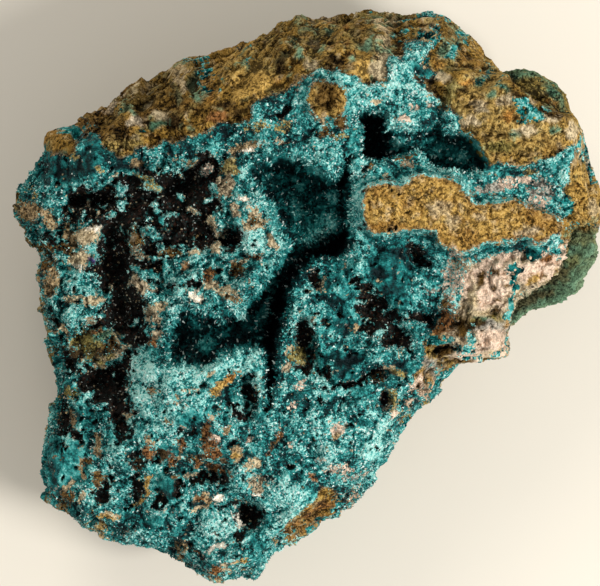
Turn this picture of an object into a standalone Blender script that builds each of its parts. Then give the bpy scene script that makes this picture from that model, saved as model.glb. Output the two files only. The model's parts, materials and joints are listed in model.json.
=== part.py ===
"""A hand-sized mineral specimen: a block of brown host rock whose upper face carries a teal crust.

Frame: metres, +Z up, origin on the flat base under the middle of the plan.
Everything below is written in millimetres and scaled once, when a mesh is made.
"""
import math

import bmesh
import bpy
import numpy as np
from mathutils import Vector, noise
from mathutils.bvhtree import BVHTree

for old in list(bpy.data.objects):
    bpy.data.objects.remove(old, do_unlink=True)

MM = 0.001

# ---- how the starting sphere is shared out --------------------------------------------------
SPHERE_LEVEL = 5          # 5,120 triangles
TOP_SHARE = 0.64          # part of the sphere's area that becomes the upper face
SIDE_SHARE = 0.80         # up to here it becomes the side wall, the rest is the underside
FOOT = 0.88               # underside starts at this part of the outline's radius
WALL_LEAN = 0.10          # how far the side leans in on its way down
OUTLINE_SOFT = 2.6        # softening of the outline, half degrees
HOLLOW_WALL = 1.9         # plan width over which the middle hollow's wall drops
CAVITY_WALL = 1.3         # and that of the smaller one

# ---- the crusts -----------------------------------------------------------------------------
GAP = 0.30                # clear space between a crust and the rock under it
CRUST_THICK = 1.0         # crust in the open
CRUST_EDGE = 0.45         # crust where it ends
DRUSE_THICK = 1.5         # crystal lining of the hollows
EDGE_INSET = 0.45         # the open crust stops this far short of a hollow's lining
LIP = 0.3                 # and stands up this much more there
CRYSTAL_POINT = 0.7       # height of a crystal's point, as a share of its face's width
STEEPEST = 0.40           # on walls steeper than this a crust is allowed to thin
SNAP = 0.80               # points this near a feature's edge are moved onto it
SHORE = 1.5               # the open crust ends this far inside the outline

# ---- plan outline, anticlockwise is not needed: it is read by angle ----------------------------
OUTLINE = [
    (-33.7, 21.3), (-29.9, 21.7), (-29.3, 22.3), (-27.7, 23.9), (-24.1, 26.2), (-20.8, 28.2),
    (-18.0, 29.3), (-16.7, 30.3), (-13.3, 30.7), (-9.8, 31.7), (-7.5, 33.0), (-5.2, 34.1),
    (-1.2, 36.2), (0.7, 35.4), (4.3, 35.8), (6.3, 36.8), (9.8, 36.8), (12.1, 36.0), (14.9, 36.7),
    (17.1, 36.2), (20.7, 33.3), (23.3, 30.3), (24.9, 29.0), (27.1, 29.8), (29.9, 28.5),
    (32.8, 26.9), (33.6, 23.9), (35.0, 21.3), (36.0, 16.7), (37.3, 13.6), (37.8, 10.8),
    (37.3, 8.8), (36.5, 7.7), (37.3, 6.0), (35.4, 3.4), (33.7, -0.1), (30.6, -1.0), (27.1, -3.3),
    (25.7, -4.5), (25.9, -7.6), (21.9, -8.5), (19.4, -8.6), (17.6, -10.4), (16.2, -12.7),
    (13.6, -14.8), (11.3, -19.0), (9.1, -22.5), (5.9, -26.0), (3.0, -28.5), (-1.1, -31.2),
    (-4.9, -32.7), (-7.0, -35.5), (-7.1, -36.7), (-12.6, -36.9), (-15.2, -35.0), (-18.4, -33.0),
    (-21.6, -31.9), (-24.1, -31.9), (-27.7, -29.9), (-30.8, -27.3), (-34.1, -25.9),
    (-34.5, -25.0), (-34.0, -20.3), (-33.0, -16.4), (-32.6, -12.6), (-32.2, -9.4), (-33.7, -4.9),
    (-34.5, -0.4), (-35.0, 3.1), (-34.0, 5.3), (-36.2, 7.5), (-35.7, 8.5), (-37.2, 10.0),
    (-37.7, 12.4), (-37.2, 14.4), (-36.2, 15.2), (-34.4, 17.5), (-33.9, 20.0),
]
# angle (deg), height of the widest line, width of the slope above it
RIM = [
    (0, 9, 2.5), (14, 12, 3), (30, 14, 4), (42, 13, 3), (55, 17, 8), (75, 18, 10), (95, 18, 10),
    (120, 17, 9), (140, 16, 6), (160, 14, 4), (180, 13, 3.5), (200, 14, 3.5), (220, 13, 4),
    (245, 12, 4.5), (270, 13, 4.5), (300, 14, 5), (330, 13, 4.5), (345, 11, 3.5), (352, 9, 2.5),
]
# flat fractures of the side: direction (deg), lean (deg), how deep it cuts into the outline
FRACTURES = [
    (4, 30, 1.2), (28, 10, 0.6), (47, 34, 1.0), (72, 16, 0.8), (98, 38, 0.6), (118, 20, 1.0),
    (138, 42, 0.4), (152, 12, 0.8), (176, 27, 0.7), (203, 14, 0.6), (222, 38, 0.8), (243, 20, 0.5),
    (262, 44, 0.6), (288, 16, 0.6), (306, 33, 0.5), (322, 12, 0.8), (341, 40, 0.8),
]
# spot heights of the open upper face: x, y, z
SPOTS = [
    (-30, 19.5, 27), (-34, 13, 25), (-24, 20, 30.5), (-18, 21.5, 32.5), (-12, 23.5, 34),
    (-6, 26, 35), (0, 29, 35.5), (6, 29, 36), (12, 29, 35.5), (17, 25, 35), (24, 21, 36),
    (29, 20, 34.5), (33, 16, 31), (33.5, 11, 30), (-20, 27, 29), (-10, 30, 31), (0, 33, 31.5),
    (10, 34, 32), (17, 32, 31), (10, 11, 34.5), (20, 10, 34.8), (28, 9, 33.6), (10, 16, 33),
    (16, 15.5, 34), (25, 13.5, 32.5), (12, 2, 30.5), (18, 3, 32), (23, 2, 33), (28, 4.5, 32),
    (22, -4, 31.5), (15, -5, 31.5), (9, -3, 30.5), (4, 0, 31), (1, -5, 30.5), (5, -8, 32),
    (12, -11, 30), (0, -14, 33), (6, -17, 32), (-2, -20, 31.5), (5, -23, 29), (-5, -27, 30),
    (-10, -29, 29), (-16, -28, 27.5), (-9, -20, 31), (-15, -20, 30), (-20, -22, 29),
    (-25, -26, 25.5), (-31, -21, 25), (-25, -19, 28), (-19, -13, 32.5), (-12, -12, 33),
    (-7, -11, 33), (-29, -10, 26), (-31, 0, 26), (-28.5, 3, 28.5), (-27, 8, 29), (-24, 4, 26.5),
    (-24, -3, 26.5), (-24.5, -10, 26), (-25, 15, 30.5), (-20, 10, 29), (-20, 2, 29),
    (-15, 9, 29), (-14, 2, 31), (-9, 9, 33), (-6, 8, 34), (-9, 15, 33), (-15, 16, 31),
    (-10, 19.5, 33.5), (-3, 20.5, 34.5), (2, 20, 35), (6, 24, 35.5), (12, 24, 35),
]
SPOT_REACH = 3.6

# ---- outlines of the features, plan millimetres -----------------------------------------------
TONGUE = [
    (6.6, 10.3), (6.7, 12.5), (7.2, 13.4), (8.5, 13.7), (10, 13.8), (11, 13.3), (12, 13.8),
    (12.8, 14.6), (13.8, 14.9), (15.5, 14.6), (17.5, 14.2), (18.5, 13.7), (18.8, 12.9),
    (19.7, 12.0), (20.2, 11.4), (21.5, 11.3), (24.7, 11.7), (26.5, 11.3), (29.0, 10.3),
    (30.3, 9.6), (31.5, 8.6), (30.5, 7.6), (28, 6.6), (26.8, 7.2), (24.5, 6.9), (21.5, 6.6),
    (20.5, 6.0), (19.5, 5.6), (18.3, 5.6), (17, 6.0), (16.2, 6.6), (15.5, 7.9), (14.5, 8.3),
    (12, 8.1), (11, 7.7), (8, 7.8), (7.2, 8.4),
]
VUG = [
    (-8.3, 15.5), (-7.5, 17), (-5.8, 17.6), (-3, 18), (-1.5, 17.6), (0, 16.6), (1.5, 15.9),
    (3, 15.1), (4, 15.8), (4.6, 16.9), (5.4, 16.4), (5.4, 14), (5.7, 11), (6.0, 8.2), (5.3, 6.2),
    (4.9, 4.6), (3, 4.2), (1, 4.3), (0, 3.4), (-1, 2.2), (-2.0, 0.3), (-2.6, -3), (-3.4, -6),
    (-3.8, -9), (-4.4, -13.3), (-5.3, -13.3), (-5.4, -9.6), (-5.8, -7.2), (-8, -6.9),
    (-10, -7.5), (-11.5, -8.8), (-13, -9.5), (-15, -9.3), (-17, -8.5), (-18.3, -7), (-17.8, -5),
    (-17.3, -3), (-16.8, -1.2), (-15, -0.9), (-13, -1.3), (-11, -1.8), (-9, -1.5), (-7.7, -0.3),
    (-6.5, 1.5), (-5.3, 2.7), (-4.4, 4.2), (-3.4, 6.1), (-4.1, 7.4), (-5, 9.8), (-6, 12),
    (-7.3, 13.1),
]
CAVITY = [
    (6.2, 22.3), (9.2, 22.3), (9.4, 20.4), (14, 20.3), (15.8, 21.0), (16.6, 19.9), (18.5, 19.7),
    (20, 19.1), (20.6, 18), (21.3, 16.8), (21.4, 15.7), (19.4, 15.6), (17, 15.8), (15, 16.6),
    (14.1, 17.9), (13.4, 18.3), (11.5, 17.7), (9.5, 17.4), (8.6, 16.6), (7.4, 16.9), (6.4, 17.4),
    (6.9, 19.5),
]
CLEFT = [
    (4.3, 6.6), (2.5, 5.8), (0.5, 4.8), (-1.6, 2.2), (-3.1, -0.4), (-3.9, -4), (-4.5, -8),
    (-4.8, -11), (-4.8, -13.1),
]
SLIT = [(4.7, 16.2), (4.8, 13.5), (5.0, 11.2)]
BLOCK = [
    (16.8, 20.4), (20, 19.4), (20.9, 17.8), (21.7, 16.0), (24, 16.4), (26, 16.1), (28.5, 16.8),
    (31, 18.1), (33, 18.6), (36, 19), (36, 24), (31, 22.1), (27.5, 23.7), (25.4, 25.1),
    (24, 27.5), (22, 30), (18.6, 28), (17.4, 24),
]
LEDGE = [
    (32.4, 8.8), (31.9, 5.6), (31.2, 4), (30.6, 3), (29.5, 2), (28, 1.3), (26.5, 0.5),
    (25.7, -0.5), (25.2, -2), (24.9, -4.2), (27, -9), (46, -8), (46, 9.8), (37, 8.9), (34, 9.2),
]
LOBE = [
    (23.2, 28.9), (24.4, 26.9), (25.6, 25.1), (27.5, 23.8), (29.5, 22.9), (31, 22.1),
    (33, 21.9), (46, 22), (44, 40), (26, 42), (23, 34),
]
PLATE = [
    (-8.5, 12.5), (-7.3, 12.7), (-6, 11.7), (-5, 9.5), (-3.6, 6.3), (-5.5, 5.2), (-7.5, 5.5),
    (-8.3, 7), (-9, 9.5), (-9.6, 11.5),
]
CORNER = [
    (-36, -25), (-33.3, -17.8), (-28.4, -17.5), (-28, -22), (-29.6, -23.4), (-33, -26.5),
]
BARE = [(1.5, -23.4), (3, -23.8), (4.3, -25.6), (4.2, -27), (0, -31), (-4, -30), (-1.5, -27),
        (0.5, -25.5)]
CRUST = [
    (-36, 17.2), (-31.5, 17.4), (-28.6, 17.6), (-28.5, 22.6), (-26.3, 23.4), (-26, 19.4),
    (-25, 18.2), (-23.5, 17.0), (-22, 17.6), (-20.5, 18.2), (-18.5, 18.8), (-16.5, 18.9),
    (-13.5, 19.7), (-12, 20.5), (-11, 21.3), (-8, 21.4), (-7, 21.8), (-7.1, 23.5), (-5.5, 24.6),
    (-4, 24.8), (-1.5, 26.0), (0.5, 27.5), (1.5, 28), (3, 27.7), (5.5, 27.0), (7, 26.2),
    (9, 26.2), (9.8, 27.6), (9.6, 29.4), (11.4, 29.2), (12, 31.2), (15.0, 31.3), (15.0, 30.2),
    (13.6, 29.4), (14.2, 28.2), (16, 27.2), (14.5, 26.4), (13.5, 26.2), (14.5, 25.6),
    (16, 24.5), (17.5, 23), (18.6, 22), (18.4, 20.9), (18.5, 19.7), (21.4, 15.7), (24, 16.3),
    (26, 16.0), (28.5, 16.6), (31, 18), (32.7, 18.3), (31.9, 15), (31.3, 12.8), (31.0, 10.5),
    (30.3, 9.6), (30.5, 7.6), (31.0, 6.6), (29.6, 5.4), (28.2, 5.2), (26.6, 6.0), (24, 5.0),
    (21.5, 4.7), (20, 4.3), (19.3, 2.5), (19, 0), (18.2, -0.4), (18.5, -3), (15, -4.6),
    (14.2, -5.5), (14.3, -8), (13, -9.5), (13, -10.8), (15, -11.4), (18, -12), (19, -14),
    (11, -28), (-8, -42), (-40, -30), (-40, 0), (-42, 14),
]
KNOB = (2.1, 24.0, 2.3)   # x, y, radius
# pits: x, y, half length, half width, turn (deg), depth
PITS = [
    (-27.2, 12.1, 3.1, 1.0, 3, 3.0), (-14.6, 14.2, 3.0, 2.0, 10, 2.5),
    (-24.2, 6.0, 2.0, 2.8, 0, 3.0), (-23.8, 1.0, 1.9, 3.5, 0, 3.2), (-22.6, -2.5, 2.4, 2.2, 0, 2.6),
    (-25.0, -10.4, 2.9, 2.0, 0, 3.0), (-23.3, -14.8, 1.3, 3.0, 10, 2.2),
    (-30.3, -15.2, 1.1, 2.2, 0, 2.0), (-9.6, 7.4, 1.6, 1.3, 0, 2.5), (-13.2, 8.6, 2.4, 1.8, 0, 1.6),
    (-7.4, -27.0, 1.7, 1.7, 0, 3.2), (-0.4, -5.6, 1.2, 2.8, 15, 3.4),
    (8.5, -1.6, 2.8, 2.0, -30, 2.6), (10.8, -4.8, 1.8, 1.6, 0, 2.0), (13.4, 5.0, 0.9, 1.5, 25, 1.8),
    (16, -2.8, 2.6, 1.1, -15, 1.7), (16.2, -6.8, 1.9, 1.0, 5, 1.4), (8.4, -9.4, 1.9, 1.0, 0, 1.7),
    (-7.4, -12.4, 0.9, 2.6, 8, 2.6), (-12.3, -21.8, 2.4, 1.1, 0, 1.6), (9.4, -13, 0.9, 1.3, 0, 1.5),
]
# rounded clusters: x, y, radius, rise
LUMPS = [
    (-23.4, -19.6, 2.0, 1.1), (-23.4, -24.9, 1.7, 0.9), (-17.0, -23.2, 1.7, 1.1),
    (3.2, -19.7, 1.7, 0.9), (-11.5, -27.8, 2.3, 1.3), (4.0, -9.0, 2.0, 1.3), (6.7, 2.8, 1.9, 1.3),
    (3.4, 1.2, 2.0, 1.0), (-28.8, 1.5, 2.0, 1.3), (-28.9, -2.7, 2.0, 1.5), (-27.3, 7.2, 1.8, 1.2),
    (-18.9, 8.3, 1.8, 1.2), (-20.8, 1.6, 1.8, 1.0), (-6.2, -4.6, 1.6, 1.6), (-12.5, -5.4, 1.8, 1.4),
    (-20.0, -8.5, 2.2, 1.0), (10.5, 4.5, 2.0, 1.0), (-1.4, 13.0, 1.8, 1.8), (1.2, 11.6, 1.6, 1.5),
    (-8.0, -22.5, 2.0, 0.9), (8.6, -7.4, 1.8, 0.8), (-3.0, -24.0, 2.4, 0.8), (6.5, -13.5, 2.2, 0.9),
]


# ---- small tools ------------------------------------------------------------------------------
def smooth(t):
    t = np.clip(t, 0.0, 1.0)
    return t * t * (3.0 - 2.0 * t)


def nearest_on(px, py, line, closed=True):
    """Distance to a line of points, and the nearest place on it."""
    pts = np.asarray(line, float)
    ends = np.roll(pts, -1, axis=0) if closed else pts[1:]
    best = np.full(px.shape, 1e9)
    nx, ny = px.copy(), py.copy()
    for (ax, ay), (bx, by) in zip(pts, ends):
        ex, ey = bx - ax, by - ay
        t = np.clip(((px - ax) * ex + (py - ay) * ey) / (ex * ex + ey * ey), 0, 1)
        qx, qy = ax + t * ex, ay + t * ey
        d = np.hypot(px - qx, py - qy)
        near = d < best
        best = np.where(near, d, best)
        nx, ny = np.where(near, qx, nx), np.where(near, qy, ny)
    return best, nx, ny


def within(px, py, poly):
    """Signed distance to a closed outline, positive inside it."""
    pts = np.asarray(poly, float)
    inside = np.zeros(px.shape, bool)
    for (ax, ay), (bx, by) in zip(pts, np.roll(pts, -1, axis=0)):
        if ay != by:
            inside ^= ((ay > py) != (by > py)) & (px < (bx - ax) * (py - ay) / (by - ay) + ax)
    d = nearest_on(px, py, poly)[0]
    return np.where(inside, d, -d)


def rough(px, py, size, seed):
    """Smooth noise about -1..1, sampled once for each point."""
    return np.array([
        noise.noise((a / size + seed, b / size - seed, 0.37 * seed)) for a, b in zip(px, py)
    ])


def exact_radius(angle):
    """Distance from the middle to the outline in each direction."""
    pts = np.asarray(OUTLINE, float)
    pts = pts[np.argsort(np.arctan2(pts[:, 1], pts[:, 0]))]
    found = np.searchsorted(np.arctan2(pts[:, 1], pts[:, 0]), angle) % len(pts)
    (bx, by), (ax, ay) = pts[found].T, pts[found - 1].T
    cx, cy = np.cos(angle), np.sin(angle)
    return (ax * by - ay * bx) / (cx * (by - ay) - cy * (bx - ax))


# the outline read every half degree and softened a little, so that no step is steeper than a face
HALF_DEGREES = np.radians(np.arange(-180, 180, 0.5))
KERNEL = np.exp(-0.5 * (np.arange(-9, 10) / OUTLINE_SOFT) ** 2)
RADII = np.convolve(np.tile(exact_radius(HALF_DEGREES), 3), KERNEL / KERNEL.sum(), "same")[720:1440]


def outline_radius(angle):
    return np.interp(angle, HALF_DEGREES, RADII, period=2 * math.pi)


def rim(angle, column):
    deg = np.degrees(angle) % 360
    table = np.array(RIM + [(RIM[0][0] + 360,) + RIM[0][1:]], float)
    return np.interp(deg, table[:, 0], table[:, column])


def relief(px, py):
    """Height of the visible upper face at each plan point."""
    r2 = np.stack([(px - a) ** 2 + (py - b) ** 2 for a, b, _ in SPOTS])
    w = np.exp(-(r2 - r2.min(axis=0)) / (2 * SPOT_REACH ** 2))
    z = (w * np.array([c for _, _, c in SPOTS])[:, None]).sum(axis=0) / w.sum(axis=0)

    tongue = smooth(within(px, py, TONGUE) / 0.9 + 1.0)
    block = smooth(within(px, py, BLOCK) / 1.0 + 1.0)
    z = z + 1.5 * rough(px, py, 6.5, 3.1) * (1 - 0.8 * tongue)
    z = z + 0.7 * rough(px, py, 2.6, 7.7) * (1 - 0.7 * tongue)

    z = z * (1 - tongue) + (36.4 - 0.05 * (px - 18)) * tongue
    z = z + 1.8 * block
    corner = smooth(within(px, py, CORNER) / 0.9 + 1.0)
    z = z * (1 - corner) + (25.5 + 0.25 * (px + 31) + 0.1 * (py + 21)) * corner
    plate = smooth(within(px, py, PLATE) / 0.9 + 1.0)
    z = z * (1 - plate) + (34.6 + 0.20 * (px + 6) - 0.12 * (py - 8)) * plate
    for a, b, r, rise in LUMPS:
        z = z + rise * np.sqrt(np.clip(1 - ((px - a) ** 2 + (py - b) ** 2) / r ** 2, 0, 1))
    for a, b, half, wide, turn, deep in PITS:
        c, s = math.cos(math.radians(turn)), math.sin(math.radians(turn))
        u = ((px - a) * c + (py - b) * s) / half
        v = (-(px - a) * s + (py - b) * c) / wide
        z = z - deep * smooth(1.45 - np.hypot(u, v))
    kx, ky, kr = KNOB
    off = np.hypot(px - kx, py - ky)
    z = z + 1.9 * smooth((kr + 0.8 - off) / 0.8) + 0.6 * np.clip(1 - (off / kr) ** 2, 0, 1)

    inner = within(px, py, VUG)
    deep = 8.0 + 3.0 * smooth((py - 6) / 6) - 2.5 * smooth((px + 1) / 5) - 1.0 * smooth(-px / 8 - 1)
    cleft = nearest_on(px, py, CLEFT, closed=False)[0]
    slit = nearest_on(px, py, SLIT, closed=False)[0]
    deep = deep + 4.5 * smooth(1.3 - cleft / 1.8) + 4.0 * smooth(1.3 - slit / 1.2)
    z = z - deep * smooth(inner / HOLLOW_WALL)
    z = z - 10.5 * smooth(within(px, py, CAVITY) / CAVITY_WALL)

    ledge = smooth(within(px, py, LEDGE) / 1.2)
    z = z * (1 - ledge) + (16.0 + 0.35 * (py - 4)) * ledge
    lobe = smooth(within(px, py, LOBE) / 1.6)
    z = z * (1 - lobe) + (22.0 + 0.4 * (24 - py)) * lobe

    angle = np.arctan2(py, px)
    low, width = rim(angle, 1), rim(angle, 2)
    inland = outline_radius(angle) - np.hypot(px, py)
    near = 1 - np.clip(inland / width, 0, 1)
    return low + (z - low) * np.sqrt(np.clip(1 - near ** 2, 0, 1))


# ---- collections and materials ----------------------------------------------------------------
def new_collection(name):
    made = bpy.data.collections.new(name)
    bpy.context.scene.collection.children.link(made)
    return made


part = new_collection("tyrolite_specimen")
cutters = new_collection("cutters")


def material(name, colour, roughness):
    made = bpy.data.materials.new(name)
    made.use_nodes = True
    shader = made.node_tree.nodes["Principled BSDF"]
    shader.inputs["Base Color"].default_value = (*colour, 1.0)
    shader.inputs["Roughness"].default_value = roughness
    made.diffuse_color = (*colour, 1.0)
    return made


def add_object(name, bm, look, where=part):
    bmesh.ops.recalc_face_normals(bm, faces=bm.faces)
    if bm.calc_volume(signed=True) < 0:
        bmesh.ops.reverse_faces(bm, faces=bm.faces)
    for v in bm.verts:
        v.co *= MM
    mesh = bpy.data.meshes.new(name)
    bm.to_mesh(mesh)
    bm.free()
    if look:
        mesh.materials.append(look)
    made = bpy.data.objects.new(name, mesh)
    where.objects.link(made)
    return made


# ---- the host rock: a sphere laid out over the plan ----------------------------------------------
bm = bmesh.new()
bmesh.ops.create_icosphere(bm, subdivisions=SPHERE_LEVEL, radius=1.0)
bm.verts.ensure_lookup_table()
bm.faces.ensure_lookup_table()
unit = np.array([v.co for v in bm.verts])
tris = np.array([[v.index for v in f.verts] for f in bm.faces])
share = (1 - np.clip(unit[:, 2], -1, 1)) / 2
angle = np.arctan2(unit[:, 1], unit[:, 0])
radius = outline_radius(angle)
on_top = share <= TOP_SHARE

part_out = np.sqrt(np.clip(share / TOP_SHARE, 0, 1))
x, y = part_out * radius * np.cos(angle), part_out * radius * np.sin(angle)


def plan_area(px, py):
    a, b, c = tris.T
    return ((px[b] - px[a]) * (py[c] - py[a]) - (px[c] - px[a]) * (py[b] - py[a])) / 2


ring = [(KNOB[0] + KNOB[2] * math.cos(t), KNOB[1] + KNOB[2] * math.sin(t))
        for t in np.linspace(0, 2 * math.pi, 9)[:-1]]
turns = np.linspace(-math.pi, math.pi, 91)[:-1]
shore = np.stack([(outline_radius(turns) - SHORE) * f(turns) for f in (np.cos, np.sin)], axis=1)
gap_best = np.full(x.shape, 1e9)
tx, ty = x.copy(), y.copy()
for line in (TONGUE, VUG, CAVITY, ring, LEDGE, LOBE, PLATE, CRUST, BLOCK, BARE, shore):
    d, qx, qy = nearest_on(x, y, line)
    take = d < gap_best - 0.05
    gap_best = np.where(take, d, gap_best)
    tx, ty = np.where(take, qx, tx), np.where(take, qy, ty)
moved = on_top & (gap_best < SNAP) & (part_out < 0.975)
flat_top = on_top[tris].all(axis=1)
free = on_top & (part_out < 0.975)
pairs = np.array([[v.index for v in e.verts] for e in bm.edges])
count = np.bincount(pairs.ravel(), minlength=len(x))
start_x, start_y = x.copy(), y.copy()
while True:
    x, y = np.where(moved, tx, start_x), np.where(moved, ty, start_y)
    for _ in range(3):
        for arr in (x, y):
            near = np.bincount(pairs[:, 0], arr[pairs[:, 1]], len(x))
            near += np.bincount(pairs[:, 1], arr[pairs[:, 0]], len(x))
            arr[free & ~moved] += 0.5 * (near / count - arr)[free & ~moved]
    thin = flat_top & (plan_area(x, y) < 0.25) & moved[tris].any(axis=1)
    if not thin.any():
        break
    bad = tris[thin]
    far = np.where(moved[bad], np.hypot(tx - start_x, ty - start_y)[bad], -1).argmax(axis=1)
    moved[bad[np.arange(len(bad)), far]] = False
print("points moved onto feature edges:", int(moved.sum()))

z = np.zeros(len(x))
z[on_top] = relief(x[on_top], y[on_top])

# the regions each crust covers, face by face
middle_x, middle_y = x[tris].mean(axis=1), y[tris].mean(axis=1)
inland = outline_radius(np.arctan2(middle_y, middle_x)) - np.hypot(middle_x, middle_y)
open_face = flat_top & (inland > SHORE)
in_vug = open_face & (within(middle_x, middle_y, VUG) > 0)
in_cavity = open_face & (within(middle_x, middle_y, CAVITY) > 0)
in_crust = open_face & (within(middle_x, middle_y, CRUST) > 0) & ~in_vug & ~in_cavity
for hole in (TONGUE, BARE):
    in_crust &= within(middle_x, middle_y, hole) < 0
in_crust &= np.hypot(middle_x - KNOB[0], middle_y - KNOB[1]) > KNOB[2] - 0.2


def connected(chosen):
    """Keep the largest patch of faces joined edge to edge."""
    left, best = set(np.flatnonzero(chosen)), []
    while left:
        todo, patch = [left.pop()], []
        while todo:
            f = todo.pop()
            patch.append(f)
            for e in bm.faces[f].edges:
                for g in e.link_faces:
                    if g.index in left:
                        left.discard(g.index)
                        todo.append(g.index)
        best = patch if len(patch) > len(best) else best
    kept = np.zeros(len(tris), bool)
    kept[best] = True
    return kept


def without_pinches(chosen):
    """Drop faces until no point joins two parts of a patch by itself."""
    while True:
        chosen = connected(chosen)
        drop = set()
        for v in bm.verts:
            mine = [f for f in v.link_faces if chosen[f.index]]
            edge = [e for e in v.link_edges if sum(chosen[f.index] for f in e.link_faces) == 1]
            if mine and len(edge) > 2:
                drop.update(f.index for f in mine)
        if not drop:
            return chosen
        chosen[list(drop)] = False


in_vug, in_cavity, in_crust = (without_pinches(c) for c in (in_vug, in_cavity, in_crust))

# the rock lies under its crusts by their thickness and the gap, measured square to the slope
for vert, a, b, c in zip(bm.verts, x, y, z):
    vert.co = (a, b, c)
bm.normal_update()
slant = 1 / np.clip([abs(vert.normal.z) for vert in bm.verts], STEEPEST, 1)
thick = np.zeros(len(x))
for region, full in ((in_crust, CRUST_THICK), (in_vug, DRUSE_THICK), (in_cavity, DRUSE_THICK)):
    used = np.unique(tris[region])
    edge = np.intersect1d(used, np.unique(tris[~region]))
    thick[used] = full * slant[used]
    thick[edge] = np.maximum(CRUST_EDGE, full * 0.45) * slant[edge]
space = GAP * slant
z_rock = z - np.where(thick > 0, thick + space, 0)

side = (share > TOP_SHARE) & (share <= SIDE_SHARE)
u = (share - TOP_SHARE) / (SIDE_SHARE - TOP_SHARE)
under = share > SIDE_SHARE
v = np.clip((1 - share) / (1 - SIDE_SHARE), 0, 1)
lump = np.array([noise.noise((a * 2.4, b * 2.4, c * 2.4 + 5)) for a, b, c in unit])
fine = np.array([noise.noise((a * 6.5, b * 6.5, c * 6.5 + 9)) for a, b, c in unit])
bump = 0.05 * lump + 0.03 * fine
part_side = 1 - WALL_LEAN * np.clip(u, 0, 1) ** 1.3 - 0.02 * u + bump * smooth(u * 2)
part_under = (FOOT + bump) * np.sqrt(v)
part_wall = np.where(side, part_side, part_under)
low = rim(angle, 1)
z_wall = np.where(side, low * (1 - u) + 2.2 * u, 2.2 - 4.5 * smooth((1 - v) * 2.2))
z_wall = z_wall + 0.8 * fine * smooth(u * 3) * (side | under)
rock_x = np.where(on_top, x, part_wall * radius * np.cos(angle))
rock_y = np.where(on_top, y, part_wall * radius * np.sin(angle))
rock_z = np.where(on_top, z_rock, z_wall)
for turn, lean, deep in FRACTURES:
    turn, lean = math.radians(turn), math.radians(lean)
    nx, ny = math.cos(turn) * math.cos(lean), math.sin(turn) * math.cos(lean)
    nz = -math.sin(lean)
    close = np.abs((HALF_DEGREES - turn + math.pi) % (2 * math.pi) - math.pi) < math.radians(16)
    edge_x, edge_y = (RADII * f(HALF_DEGREES) for f in (np.cos, np.sin))
    reach = (edge_x * nx + edge_y * ny + rim(HALF_DEGREES, 1) * nz)[close].max() - deep
    past = rock_x * nx + rock_y * ny + rock_z * nz - reach
    past = np.where(on_top | (past < 0), 0, past) * smooth(u * 4)
    rock_x, rock_y = rock_x - past * math.cos(turn), rock_y - past * math.sin(turn)
for vert, a, b, c in zip(bm.verts, rock_x, rock_y, rock_z):
    vert.co = (a, b, c)
surface = BVHTree.FromBMesh(bm)
shape = bm.copy()

rock = add_object("matrix", bm, material("host_rock", (0.33, 0.20, 0.09), 0.9))

floor = bmesh.new()
bmesh.ops.create_cube(floor, size=1.0)
for vert in floor.verts:
    vert.co = (vert.co.x * 120, vert.co.y * 120, vert.co.z * 20 - 10)
cutter = add_object("base_cutter", floor, None, cutters)
cutter.hide_render = True
cutter.display_type = "WIRE"
cut = rock.modifiers.new("flat_base", "BOOLEAN")
cut.operation = "DIFFERENCE"
cut.object = cutter
cut.solver = "EXACT"


# ---- the crusts ----------------------------------------------------------------------------------
def plan_size(face):
    a, b, c = (v.co for v in face.verts)
    return (b - a).xy.cross((c - a).xy)


def settle(v, step, gap_there):
    """Move a rim point in plan, as far as its faces allow, and set it clear of the rock there."""
    start, full = v.co.copy(), [plan_size(f) for f in v.link_faces]
    for part_way in (1.0, 0.7, 0.4):
        v.co = start + step * part_way
        if all(plan_size(f) > 0.5 * a for f, a in zip(v.link_faces, full)):
            around = [(0, 0)] + [(math.cos(t), math.sin(t)) for t in np.linspace(0, 5.5, 8)]
            hits = [surface.ray_cast(Vector((v.co.x + 0.5 * a, v.co.y + 0.5 * b, 80)),
                                     Vector((0, 0, -1)))[0].z for a, b in around]
            v.co.z = max(hits) + gap_there + LIP
            return
    v.co = start + Vector((0, 0, gap_there))


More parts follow.
